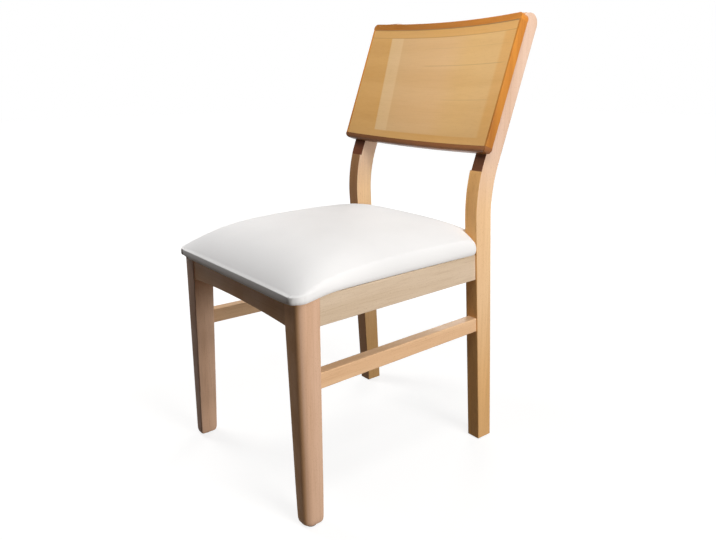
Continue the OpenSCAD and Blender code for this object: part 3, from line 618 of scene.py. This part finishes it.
def front_leg(side, name):
    """A front leg, on the right for side 1 and on the left for side -1."""
    rings = []
    for k in range(FOOT_STEPS + 1):
        a = math.radians(90 * k / FOOT_STEPS)
        inset = FOOT_ROUND_IN * (1 - math.sin(a)) ** FOOT_CURVE
        rings.append(leg_ring(GLIDE_T + FOOT_ROUND_H * (1 - math.cos(a)), inset))
    for z in np.linspace(GLIDE_T + FOOT_ROUND_H, TAPER_Z, TAPER_STEPS + 1)[1:]:
        rings.append(leg_ring(z))
    rings.append(leg_section(LEG_TOP_OUT, LEG_TOP_OUT - LEG_W, front_y, front_y + LEG_D, rail_top))
    around = len(rings[0])
    points = [(side * x, y, z) for ring in rings for x, y, z in ring]
    faces = ring_faces(len(rings), around)
    faces.append(tuple(reversed(range(around))))
    faces.append(tuple(range(len(points) - around, len(points))))
    if side < 0:
        faces = [tuple(reversed(f)) for f in faces]
    mesh = mesh_from(name + "_wood", points, faces)
    shade(mesh, 50)
    mesh.materials.append(MATERIALS["leg"])
    return new_piece(name + "_wood", mesh, "beech_frame", name)


front_leg(1, "front_leg_right")
front_leg(-1, "front_leg_left")

# Posts, rails, stretchers and the panel: the CAD shape with its arrises rounded

FLAT_ANGLE = math.radians(0.06)
ARRIS_ANGLE = math.radians(35)
ARRIS_SEGMENTS = 5
SHORTEST_ARRIS = 1 * MM


def rounded_copy(name, slot, material, radius, weight_of):
    """A copy of a CAD node whose edges are rounded; weight_of gives each edge its share."""
    work = bmesh.new()
    work.from_mesh(nodes[name].data)
    bmesh.ops.remove_doubles(work, verts=work.verts, dist=WELD)
    bmesh.ops.dissolve_limit(work, angle_limit=FLAT_ANGLE, verts=work.verts, edges=work.edges)
    layer = work.edges.layers.float.new("bevel_weight_edge")
    for edge in work.edges:
        if not edge.is_manifold or edge.calc_length() < SHORTEST_ARRIS:
            continue
        if edge.calc_face_angle(0) > ARRIS_ANGLE:
            edge[layer] = weight_of(edge)
    mesh = bpy.data.meshes.new(name + "_wood")
    work.to_mesh(mesh)
    work.free()
    mesh.materials.clear()
    mesh.materials.append(material)
    shade(mesh, 30)
    piece = new_piece(name + "_wood", mesh, slot, name)
    round_over = piece.modifiers.new("arris", "BEVEL")
    round_over.limit_method = "WEIGHT"
    round_over.width = radius
    round_over.segments = ARRIS_SEGMENTS
    round_over.use_clamp_overlap = False
    normals = piece.modifiers.new("normals", "WEIGHTED_NORMAL")
    normals.keep_sharp = True
    apply_modifiers(piece)
    return piece


def along(axis):
    """Weight 1 for edges that run along an axis."""
    def weight(edge):
        run = (edge.verts[1].co - edge.verts[0].co).normalized()
        return 1.0 if abs(run[axis]) > 0.9 else 0.0
    return weight


POST_W = 32 * MM
POST_ROUND, RAIL_ROUND = 2 * MM, 1.5 * MM
# Differences of place that count as none, and as a real one
NEAR, APART = 0.1 * MM, 1 * MM


def post_weight(edge):
    """The long arrises of a post, and its top front arris."""
    a, b = edge.verts[0].co, edge.verts[1].co
    run = (b - a).normalized()
    if abs(run.x) > 0.9:
        return 1.0 if min(a.z, b.z) > post_high.z - APART else 0.0
    outer = min(abs(abs(a.x) - post_high.x), abs(abs(a.x) - (post_high.x - POST_W)))
    return 1.0 if outer < NEAR and abs(run.x) < 0.1 else 0.0


for side in ("left", "right"):
    rounded_copy("rear_post_" + side, "beech_posts", MATERIALS["post"], POST_ROUND, post_weight)
    rounded_copy("side_rail_" + side, "beech_frame", MATERIALS["side"], RAIL_ROUND, along(1))
    rounded_copy(
        "side_stretcher_" + side, "beech_stretchers", MATERIALS["bar"], POST_ROUND, along(1)
    )
for name in ("front_rail", "rear_rail"):
    rounded_copy(name, "beech_frame", MATERIALS["cross"], RAIL_ROUND, along(0))


def panel_weight(edge):
    """A small round on the outer arrises of the ends, and none where pieces meet."""
    a, b = edge.verts[0].co, edge.verts[1].co
    at_end = min(abs(a.x), abs(b.x)) > PANEL_HALF - 2 * NEAR
    upright = abs(up_panel(a) - up_panel(b)) > APART
    return 1.0 if at_end and upright else 0.0


rounded_copy("back_panel", "back_veneer", MATERIALS["veneer"], PANEL_ARRIS, panel_weight)
for side in ("left", "right"):
    name = "back_lipping_" + side
    rounded_copy(name, "back_lipping", MATERIALS["lip_z"], PANEL_ARRIS, panel_weight)


def on_panel(x, w, v):
    """A place on the curved panel: w back from its front face, v up its slope."""
    w += math.sqrt(PANEL_R**2 - x**2) - PANEL_R
    y = PANEL_Y + w * math.cos(LEAN) + v * math.sin(LEAN)
    return (x, y, PANEL_BOTTOM_Z - w * math.sin(LEAN) + v * math.cos(LEAN))


# Degrees between the sections at a lipping's ends, its sections in between, and arc points
END_STEP, LONG_SECTIONS, FRONT_ARC, REAR_ARC = 6, 61, 7, 5
BOTTOM_ROUND, TOP_ROUND = 7 * MM, 1.8 * MM


def lipping_places():
    """Where the sections of a long lipping lie across the panel, close together at its ends."""
    turns = [math.radians(a) for a in range(0, 91, END_STEP)]
    ends = [PANEL_HALF - PANEL_CORNER * (1 - math.sin(a)) for a in turns]
    middle = list(np.linspace(-ends[0], ends[0], LONG_SECTIONS)[1:-1])
    return [-e for e in reversed(ends)] + middle + ends


def lipping(name, material, joint_v, edge_v, front_round):
    """A long lipping, swept from end to end; its rounds get smaller at its corners."""
    away = 1 if edge_v > joint_v else -1
    points = []
    for x in lipping_places():
        into = max(abs(x) - PANEL_HALF + PANEL_CORNER, 0)
        v = edge_v - away * (PANEL_CORNER - math.sqrt(max(PANEL_CORNER**2 - into**2, 0)))
        front = PANEL_ARRIS + (front_round - PANEL_ARRIS) * (1 - into / PANEL_CORNER)
        section = [(0, joint_v)]
        for a in np.radians(np.linspace(0, 90, FRONT_ARC)):
            section.append((front * (1 - math.cos(a)), v - away * front * (1 - math.sin(a))))
        for a in np.radians(np.linspace(90, 0, REAR_ARC)):
            w = PANEL_T - PANEL_ARRIS * (1 - math.cos(a))
            section.append((w, v - away * PANEL_ARRIS * (1 - math.sin(a))))
        section.append((PANEL_T, joint_v))
        points += [on_panel(x, w, up) for w, up in section]
    around = len(section)
    rings = len(points) // around
    faces = ring_faces(rings, around)
    faces.append(tuple(range(around)))
    faces.append(tuple(reversed(range(len(points) - around, len(points)))))
    mesh = mesh_from(name + "_wood", points, faces)
    close_up(mesh, FINE_WELD)
    shade(mesh, 30)
    mesh.materials.append(MATERIALS[material])
    return new_piece(name + "_wood", mesh, "back_lipping", name)


# The under lipping carries painted shade
lipping("back_lipping_bottom", "lip_under_painted_shade", LIP_BOTTOM, 0.0, BOTTOM_ROUND)
lipping("back_lipping_top", "lip_x", PANEL_H - LIP_TOP, PANEL_H, TOP_ROUND)

# Seat pad: outline, swell and rings, as the CAD pad has them

PAD_H = 72 * MM
PAD_BASE = rail_top + 0.3 * MM
FRONT_OVER = 9 * MM
PAD_HALF_FRONT = 223 * MM
PAD_HALF_REAR = 208 * MM
PAD_DRAW = 3 * MM
PAD_CORNER, LEAST_CORNER = 25 * MM, 3 * MM
PAD_DROP = 12.5 * MM
CLOTH_T = 1.2 * MM
FRONT_LOW, FRONT_FADE = 0.96, 63 * MM
SIDE_LOW, SIDE_FADE = 0.55, 36 * MM
REAR_LOW, REAR_FADE = 0.50, 43 * MM
DROP_FADE = 48 * MM
MARGIN_W, ROLL_IN, EDGE_IN, CROWN_IN = 42 * MM, 8.2 * MM, 2.5 * MM, 5 * MM
# Shares of a depth: how far the turned-under rings are set in, and the lower edge's ring raised
UNDER_SHARE, UNDER_LIFT = 0.35, 1.3
NOTCH_MARGIN = 20 * MM
CORNER_RISE, CORNER_RISE_FADE = 4.5 * MM, 30 * MM
POST_IN = 175 * MM
POST_GAP = 1 * MM
pad_front_y = front_y - FRONT_OVER
pad_mid_y = (pad_front_y + pad_rear_y) / 2

# Columns of points along half of the pad's outline
FRONT_COLUMNS, CORNER_COLUMNS, SIDE_COLUMNS, NOTCH_COLUMNS, REAR_COLUMNS = 30, 30, 51, 6, 25
# Rings of the crisp edge: inset, share of the rise at the sides and at the corners, front lift
EDGE_LOWER = (0, 0.4, 0.78, 2 * MM)
EDGE_UPPER = (1.6 * MM, 0.82, 0.92, 1.4 * MM)
EDGE_LIFT_FADE, EDGE_CORNER_FADE = 14 * MM, 50 * MM
MIDDLE_MARGIN = 25 * MM
SUBSTEPS = 3
# The shoulder's last ring and the crown's rings, as shares of the crown's outline
SHOULDER_SHARE = 0.985
CROWN_SHARES = [0.965, 0.945, 0.92, 0.89, 0.86, 0.825, 0.79, 0.75]
CROWN_SHARES += list(np.linspace(0.70, 0.06, 13))
# The height above the rails that the crown's notches are made for
CROWN_UP = 43.2 * MM

# The rear posts below their bend, as the CAD has them
POST_RAKE = math.atan(38 / 560)
POST_BEND_Z, POST_BEND_R = 560 * MM, 285 * MM
POST_FOOT_Y = 491 * MM
POST_HALF_FOOT, POST_HALF_MORE = 19 * MM, 3 * MM


def post_front(z):
    """Front face of the rear posts at a height below their bend."""
    turn = math.tan((POST_RAKE + LEAN) / 2)
    bend_start = POST_BEND_Z - POST_BEND_R * turn * math.cos(POST_RAKE)
    half = POST_HALF_FOOT + POST_HALF_MORE * z / bend_start
    return front_y + POST_FOOT_Y - z * math.tan(POST_RAKE) - half / math.cos(POST_RAKE)


rail_post_y = post_front(rail_top)


def pad_half(y):
    """Half of the pad's width at a place from front to back."""
    t = np.clip((y - front_y) / (rail_post_y - front_y), 0, 1)
    return PAD_HALF_FRONT + (PAD_HALF_REAR - PAD_HALF_FRONT) * t - PAD_DRAW * 4 * t * (1 - t)


def pad_top(x, y):
    """Height of the pad's top, which falls towards each edge."""
    front = 1 - FRONT_LOW * np.exp(-np.maximum(y - pad_front_y, 0) / FRONT_FADE)
    side = 1 - SIDE_LOW * np.exp(-np.maximum(pad_half(y) - np.abs(x), 0) / SIDE_FADE)
    rear = 1 - REAR_LOW * np.exp(-np.maximum(pad_rear_y - y, 0) / REAR_FADE)
    return PAD_BASE + PAD_H * front * side * rear


def pad_low(y):
    """Height of the pad's lower edge, which hangs over the front rail."""
    drop = np.exp(-(((y - pad_front_y) / DROP_FADE) ** 2))
    return PAD_BASE + CLOTH_T - (PAD_DROP + CLOTH_T) * drop


def columns(start, stop, count):
    """Evenly spread values from start to just before stop."""
    return np.linspace(start, stop, count + 1)[:-1]


def pad_outline(inset, z=rail_top):
    """The pad's outline, set in, with the notches for the posts at a height."""
    radius = max(PAD_CORNER - inset, LEAST_CORNER)
    front = pad_front_y + inset
    cy = front + radius
    cx = float(pad_half(cy)) - inset - radius
    notch = min(inset, NOTCH_MARGIN)
    ny = post_front(z) - POST_GAP - notch
    nx = POST_IN - POST_GAP - notch
    rear = pad_rear_y - inset
    half = [(cx * t, front) for t in columns(0, 1, FRONT_COLUMNS)]
    for a in columns(0, math.pi / 2, CORNER_COLUMNS):
        half.append((cx + radius * math.sin(a), cy - radius * math.cos(a)))
    half += [(float(pad_half(y)) - inset, y) for y in columns(cy, ny, SIDE_COLUMNS)]
    side = float(pad_half(ny)) - inset
    half += [(x, ny) for x in columns(side, nx, NOTCH_COLUMNS)]
    half += [(nx, y) for y in columns(ny, rear, NOTCH_COLUMNS)]
    half += [(nx * t, rear) for t in np.linspace(1, 0, REAR_COLUMNS + 1)]
    half = np.array(half)
    return np.vstack([half, half[-2:0:-1] * [-1, 1]])


def smooth_rings(rings, substeps):
    """Rings in between, on a curve through each column of points."""
    made = [rings[0]]
    for k in range(len(rings) - 1):
        a, b = rings[k], rings[k + 1]
        before = rings[k - 1] if k else a
        after = rings[k + 2] if k + 2 < len(rings) else b
        length = np.linalg.norm(b - a, axis=1, keepdims=True)
        start = (b - before) / (np.linalg.norm(b - before, axis=1, keepdims=True) + 1e-9) * length
        stop = (after - a) / (np.linalg.norm(after - a, axis=1, keepdims=True) + 1e-9) * length
        for s in np.linspace(0, 1, substeps + 1)[1:]:
            made.append(
                a * (2 * s**3 - 3 * s**2 + 1) + b * (3 * s**2 - 2 * s**3)
                + start * (s**3 - 2 * s**2 + s) + stop * (s**3 - s**2)
            )
    return made


def level_ring(inset, lift):
    """A level ring of the pad's underside."""
    flat = pad_outline(inset)
    return np.c_[flat, np.full(len(flat), PAD_BASE + lift)]


def edge_ring(depth, inset, share, corner_share, front_lift):
    """A ring of the crisp edge: higher at the front, and fuller round the front corners."""
    flat = pad_outline(inset + depth)
    top = pad_top(flat[:, 0], flat[:, 1])
    back = flat[:, 1] - pad_front_y - inset - depth
    lift = front_lift * np.exp(-((back / EDGE_LIFT_FADE) ** 2))
    share = share + (corner_share - share) * np.exp(-((back / EDGE_CORNER_FADE) ** 2))
    rise = (top - PAD_BASE - depth) * share + (1 - share) * depth / 2
    return np.c_[flat, PAD_BASE + rise + lift]


def crown_ring(depth, share):
    """A ring of the pad's top, at a share of its outline."""
    flat = pad_outline(CROWN_IN + depth, rail_top + CROWN_UP)
    flat = flat * share + (1 - share) * np.array([0, pad_mid_y])
    return np.c_[flat, pad_top(flat[:, 0], flat[:, 1]) - depth]


def pad_rings(depth):
    """Rings of the pad, set in by a depth all over, from its margin to its crown."""
    low = pad_outline(EDGE_IN + UNDER_SHARE * depth)
    corner_x = float(pad_half(pad_front_y + PAD_CORNER))
    to_corner = np.hypot(np.abs(low[:, 0]) - corner_x, low[:, 1] - pad_front_y)
    raised = CORNER_RISE * np.exp(-((to_corner / CORNER_RISE_FADE) ** 2))
    low = np.c_[low, pad_low(low[:, 1] - EDGE_IN) + UNDER_LIFT * depth + raised]
    side = [
        level_ring(ROLL_IN + UNDER_SHARE * depth, depth),
        low,
        edge_ring(depth, *EDGE_LOWER),
        edge_ring(depth, *EDGE_UPPER),
        crown_ring(depth, 1),
        crown_ring(depth, SHOULDER_SHARE),
    ]
    rings = [level_ring(MARGIN_W, depth), level_ring(MIDDLE_MARGIN, depth)]
    rings += smooth_rings(side, SUBSTEPS)
    return rings + [crown_ring(depth, share) for share in CROWN_SHARES]


def pad_faces(rings, around):
    """Faces of the rings, closed at the crown by strips that run from side to side."""
    faces = ring_faces(rings, around)
    last = (rings - 1) * around
    middle = around // 2
    faces.append((last, last + 1, last + around - 1))
    for k in range(1, middle - 1):
        faces.append((last + k, last + k + 1, last + around - k - 1, last + around - k))
    faces.append((last + middle - 1, last + middle, last + middle + 1))
    return faces


def closed_pad(name, depth):
    """A closed solid of the pad, set in by a depth."""
    rings = pad_rings(depth)
    around = len(rings[0])
    faces = pad_faces(len(rings), around)
    faces.append(tuple(reversed(range(around))))
    mesh = mesh_from(name, np.vstack(rings), faces)
    close_up(mesh, WELD)
    return mesh


# The swell: how much smaller its simulation starts, how far it may rise and how softly, the
# size of its mesh, its length in frames, and how many of its points are blended into one
SHRINK = 1.5 * MM
SWELL_CAP = 5 * MM
SWELL_BLEND = 0.6 * MM
VOXEL = 5 * MM
LAST_FRAME = 20
NEAREST = 24
# The cloth that swells
CLOTH_MASS, STIFFNESS, BENDING, PRESSURE = 0.3, 25, 8, 4
# What stays still: the underside, but for the front lip's outer face, and the posts' notches
PIN_UP, LIP_FACE, LIP_DOWN = 4 * MM, 6 * MM, 8 * MM
NOTCH_FRONT, NOTCH_SIDE = 6 * MM, 10 * MM


def held_still(start):
    """True for the points of the simulated pad that the board and the frame hold."""
    still = start[:, 2] < PAD_BASE + PIN_UP
    still &= (start[:, 1] > pad_front_y + LIP_FACE) | (start[:, 2] < PAD_BASE - LIP_DOWN)
    behind = start[:, 1] > rail_post_y - NOTCH_FRONT
    return still | (behind & (np.abs(start[:, 0]) > POST_IN - NOTCH_SIDE))


def simulate_swell():
    """Places and moves of a pad that is blown up as cloth, from a shape a little smaller."""
    mesh = closed_pad("swell_start", SHRINK)
    pad = bpy.data.objects.new("swell", mesh)
    bpy.context.scene.collection.objects.link(pad)
    remesh = pad.modifiers.new("voxels", "REMESH")
    remesh.mode = "VOXEL"
    remesh.voxel_size = VOXEL
    apply_modifiers(pad)
    start = places(pad.data)
    pins = pad.vertex_groups.new(name="pins")
    pins.add([int(k) for k in np.flatnonzero(held_still(start))], 1.0, "REPLACE")
    cloth_modifier = pad.modifiers.new("swell", "CLOTH")
    settings = cloth_modifier.settings
    settings.quality = 5
    settings.mass = CLOTH_MASS
    settings.tension_stiffness = STIFFNESS
    settings.compression_stiffness = STIFFNESS
    settings.bending_stiffness = BENDING
    settings.use_pressure = True
    settings.uniform_pressure_force = PRESSURE
    settings.vertex_group_mass = "pins"
    settings.effector_weights.gravity = 0
    cloth_modifier.collision_settings.use_collision = False
    scene = bpy.context.scene
    for step in range(1, LAST_FRAME + 1):
        scene.frame_set(step)
    swollen = places(made_mesh(pad))
    scene.frame_set(1)
    moves = swollen - start
    bpy.data.objects.remove(pad)
    return start, moves


def spread_moves(points, start, moves):
    """Moves of other points, blended from the simulated ones that lie nearest."""
    length = np.linalg.norm(moves, axis=1, keepdims=True)
    capped = moves * (SWELL_CAP * np.tanh(length / SWELL_CAP) / (length + 1e-9))
    tree = kdtree.KDTree(len(start))
    for k, place in enumerate(start):
        tree.insert(place, k)
    tree.balance()
    result = np.zeros_like(points)
    for k, point in enumerate(points):
        found = tree.find_n(point, NEAREST)
        weights = np.array([math.exp(-((d / (2 * VOXEL)) ** 2)) + 1e-6 for _, _, d in found])
        picked = capped[[i for _, i, _ in found]]
        result[k] = (picked * weights[:, None]).sum(axis=0) / weights.sum()
    return result


def ring_normals(rings):
    """Outward directions at the rings' points."""
    grid = np.stack(rings)
    around = np.roll(grid, -1, axis=1) - np.roll(grid, 1, axis=1)
    outward = np.cross(around, np.gradient(grid, axis=0)).reshape(-1, 3)
    return outward / (np.linalg.norm(outward, axis=1, keepdims=True) + 1e-12)


def swell(rings):
    """The rings' points, moved outwards as far as the simulated cloth rises past them."""
    points = np.vstack(rings)
    moves = spread_moves(points, *simulate_swell())
    outward = ring_normals(rings)
    rise = (moves * outward).sum(axis=1, keepdims=True) - SHRINK
    reach = (rise + np.sqrt(rise**2 + SWELL_BLEND**2)) / 2
    return points + outward * reach * (moves != 0).any(axis=1, keepdims=True)


# The corner folds: how far they go out and in, where they fade upwards, and where inwards
FOLD_OUT, FOLD_IN = 2.8 * MM, 2.2 * MM
FOLD_UP, FOLD_FADE = 8 * MM, 14 * MM
FOLD_FROM, FOLD_RIM = 0.78, 0.17
# In degrees round a corner from its front: the fold's start and rise, its end and fall
FOLD_START, FOLD_SOON, FOLD_STOP, FOLD_LONG = 15, 3, 75, 45
DENT_AT, DENT_HALF = 12, 3


def corner_folds(points):
    """Folds of the cloth at the two front corners, as moves of the points there."""
    radius = PAD_CORNER
    cy = pad_front_y + radius
    cx = float(pad_half(cy)) - radius
    away = np.c_[np.abs(points[:, 0]) - cx, points[:, 1] - cy]
    angle = np.degrees(np.arctan2(away[:, 0], -away[:, 1]))
    reach = np.linalg.norm(away, axis=1)
    low = 1 - np.clip((points[:, 2] - PAD_BASE - FOLD_UP) / FOLD_FADE, 0, 1)
    rim = np.clip((reach - FOLD_FROM * radius) / (FOLD_RIM * radius), 0, 1)
    rim *= low * low * (3 - 2 * low)
    fold = np.clip((angle - FOLD_START) / FOLD_SOON, 0, 1)
    fold *= np.clip((FOLD_STOP - angle) / FOLD_LONG, 0, 1)
    dent = np.exp(-(((angle - DENT_AT) / DENT_HALF) ** 2))
    push = rim * (FOLD_OUT * fold - FOLD_IN * dent)
    unit = away / (reach[:, None] + 1e-9)
    side = np.sign(points[:, 0])
    return np.c_[unit[:, 0] * push * side, unit[:, 1] * push, np.zeros(len(points))]


def seat_cushion():
    """The cloth cover: swollen, folded at its corners and turned in under the board."""
    rings = pad_rings(0.0)
    around = len(rings[0])
    points = swell(rings)
    points = points + corner_folds(points)
    mesh = mesh_from("seat_cushion", points, pad_faces(len(rings), around))
    close_up(mesh, WELD)
    piece = new_piece("seat_cushion", mesh, "seat_cloth", "seat_cover")
    subdivide = piece.modifiers.new("finer", "SUBSURF")
    subdivide.levels = 1
    subdivide.render_levels = 1
    thick = piece.modifiers.new("thickness", "SOLIDIFY")
    thick.thickness = CLOTH_T
    thick.offset = -1
    apply_modifiers(piece)
    shade(piece.data, 75)
    piece.data.materials.append(MATERIALS["cloth"])


FOAM_DEPTH = 7 * MM


def seat_foam():
    """The foam block, a closed copy of the pad that is set in below the cloth."""
    mesh = closed_pad("seat_foam_block", FOAM_DEPTH)
    shade(mesh, 60)
    mesh.materials.append(MATERIALS["foam"])
    piece = new_piece("seat_foam_block", mesh, "foam", "seat_foam")


seat_cushion()
seat_foam()

# Dust cover: a thin sheet that sags a little between its edges

DUST_IN = 44 * MM
DUST_T = 0.5 * MM
DUST_SAG = 2.5 * MM
DUST_RINGS = 14


def dust_sheet():
    """The dust cover under the seat board."""
    flat = pad_outline(DUST_IN)
    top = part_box("dust_cover")[1].z
    rings = []
    for share in np.linspace(1, 0.05, DUST_RINGS):
        xy = flat * share + (1 - share) * np.array([0, pad_mid_y])
        sag = DUST_SAG * (1 - share**2)
        rings.append(np.c_[xy, np.full(len(xy), top - sag)])
    mesh = mesh_from("dust_sheet", np.vstack(rings), pad_faces(len(rings), len(flat)))
    close_up(mesh, WELD)
    piece = new_piece("dust_sheet", mesh, "dust_cloth", "dust_cover")
    thick = piece.modifiers.new("thickness", "SOLIDIFY")
    thick.thickness = DUST_T
    thick.offset = -1
    apply_modifiers(piece)
    shade(piece.data, 60)
    piece.data.materials.append(MATERIALS["dust"])


dust_sheet()

# CAD nodes that stay as they are get their materials
CARRIED = {
    "seat_board": "plywood",
    "seat_staples": "steel",
    "corner_block_front_left": "block",
    "corner_block_front_right": "block",
    "corner_block_rear_left": "block",
    "corner_block_rear_right": "block",
    "corner_block_screws": "steel",
    "seat_screws": "steel",
    "back_screws": "steel",
    "post_plugs": "dowel",
    "rail_dowels": "dowel",
    "stretcher_dowels": "dowel",
    "foot_glides": "nylon",
}
for name, material in CARRIED.items():
    nodes[name].data.materials.clear()
    nodes[name].data.materials.append(MATERIALS[material])

# Camera: the photograph's viewpoint

IMAGE_W = 716
FOCAL_PX = 672.71
AXIS_DOWN_PX = 20
SENSOR_W = 36
CAMERA_PLACE = (1086.56 * MM, front_y - 565.772 * MM, 785.6 * MM)
CAMERA_TURN = (51.53, -14.68, -0.23)


def photo_camera():
    """The scene's camera; its yaw, pitch and roll are in degrees."""
    data = bpy.data.cameras.new("camera")
    camera = bpy.data.objects.new("camera", data)
    bpy.context.scene.collection.objects.link(camera)
    data.sensor_width = SENSOR_W
    data.lens = FOCAL_PX / IMAGE_W * SENSOR_W
    data.shift_y = -AXIS_DOWN_PX / IMAGE_W
    yaw, pitch, roll = (math.radians(a) for a in CAMERA_TURN)
    level_part = math.cos(pitch)
    ahead = Vector((-math.sin(yaw) * level_part, math.cos(yaw) * level_part, math.sin(pitch)))
    level = Vector((math.cos(yaw), math.sin(yaw), 0))
    right = math.cos(roll) * level + math.sin(roll) * level.cross(ahead)
    turn = Matrix((right, right.cross(ahead), -ahead)).transposed()
    camera.matrix_world = Matrix.Translation(CAMERA_PLACE) @ turn.to_4x4()
    bpy.context.scene.camera = camera


photo_camera()

# Floor, backdrop and lights


def seen_directly(tree):
    """1 for what the camera sees, in mirrors and through glass too, else 0."""
    path = tree.nodes.new("ShaderNodeLightPath")
    total = path.outputs["Is Camera Ray"]
    for name in ("Is Glossy Ray", "Is Transmission Ray"):
        add = tree.nodes.new("ShaderNodeMath")
        add.operation = "ADD"
        add.use_clamp = True
        tree.links.new(total, add.inputs[0])
        tree.links.new(path.outputs[name], add.inputs[1])
        total = add.outputs["Value"]
    return total


AMBIENT_TINT = rgb(1, 0.93, 0.85)


def white_world(ambient):
    """White where it is seen directly, and a weak warm light everywhere else."""
    world = bpy.data.worlds.new("studio")
    world.use_nodes = True
    bpy.context.scene.world = world
    tree = world.node_tree
    light = tree.nodes["Background"]
    light.inputs["Color"].default_value = AMBIENT_TINT
    light.inputs["Strength"].default_value = ambient
    white = tree.nodes.new("ShaderNodeBackground")
    white.inputs["Color"].default_value = rgb(1, 1, 1)
    white.inputs["Strength"].default_value = 1.0
    both = tree.nodes.new("ShaderNodeMixShader")
    tree.links.new(seen_directly(tree), both.inputs["Fac"])
    tree.links.new(light.outputs[0], both.inputs[1])
    tree.links.new(white.outputs[0], both.inputs[2])
    tree.links.new(both.outputs[0], tree.nodes["World Output"].inputs["Surface"])


FLOOR_HALF = 12
FLOOR_DULL, FLOOR_PALE = rgb(0.14, 0.11, 0.085), rgb(0.28, 0.28, 0.28)
# The floor's own glow, from below the chair outwards: distances, then strengths
GLOW_FADE = (0.5, 1.6, 0.82, 1.0)


def pale_floor():
    """White to the eye, with the chair's soft shadow; dull in the light that it throws back."""
    half = FLOOR_HALF
    corners = [(-half, -half, 0), (half, -half, 0), (half, half, 0), (-half, half, 0)]
    mesh = mesh_from("floor", corners, [(0, 1, 2, 3)])
    floor = bpy.data.objects.new("floor", mesh)
    bpy.context.scene.collection.objects.link(floor)
    made = Nodes("floor")
    tree = made.tree
    tree.nodes.remove(made.shader)
    dull = made.add("ShaderNodeBsdfDiffuse", {"Color": FLOOR_DULL})
    pale = made.add("ShaderNodeBsdfDiffuse", {"Color": FLOOR_PALE})
    length = made.add("ShaderNodeVectorMath", {0: made.place()}, operation="LENGTH")
    strength = made.ramp(length.outputs["Value"], *GLOW_FADE)
    glow = made.add("ShaderNodeEmission", {"Strength": strength})
    lit = tree.nodes.new("ShaderNodeAddShader")
    tree.links.new(pale.outputs[0], lit.inputs[0])
    tree.links.new(glow.outputs[0], lit.inputs[1])
    both = tree.nodes.new("ShaderNodeMixShader")
    tree.links.new(seen_directly(tree), both.inputs["Fac"])
    tree.links.new(dull.outputs[0], both.inputs[1])
    tree.links.new(lit.outputs[0], both.inputs[2])
    tree.links.new(both.outputs[0], tree.nodes["Material Output"].inputs["Surface"])
    mesh.materials.append(made.material)


def area_light(name, place, target, size, power, colour, mirrored):
    """A square lamp that looks at a target; mirrored says whether gloss shows it."""
    data = bpy.data.lights.new(name, "AREA")
    data.shape = "SQUARE"
    data.size = size
    data.energy = power
    data.color = colour
    lamp = bpy.data.objects.new(name, data)
    lamp.location = place
    lamp.rotation_euler = (Vector(target) - Vector(place)).to_track_quat("-Z", "Y").to_euler()
    lamp.visible_camera = False
    lamp.visible_glossy = mirrored
    bpy.context.scene.collection.objects.link(lamp)


AMBIENT = 0.035
WARM, MILD = (1.0, 0.98, 0.95), (1.0, 0.98, 0.96)
# Name, place, target, size, power, colour, and whether gloss shows the lamp
LAMPS = (
    ("side", (2.2, 0.15, 0.85), (0, 0.05, 0.45), 0.9, 36.5, WARM, True),
    ("over", (0.65, -0.18, 1.6), (0.05, 0.12, 0.7), 0.35, 6.9, WARM, True),
    ("left", (-1.0, -0.5, 1.5), (0, 0.05, 0.6), 0.5, 12.8, MILD, False),
    ("rear", (-1.7, 2.3, 1.2), (0, 0.1, 0.5), 1.2, 30, MILD, True),
)

white_world(AMBIENT)
pale_floor()
for lamp in LAMPS:
    area_light(*lamp)

bpy.context.scene.view_settings.view_transform = "Standard"
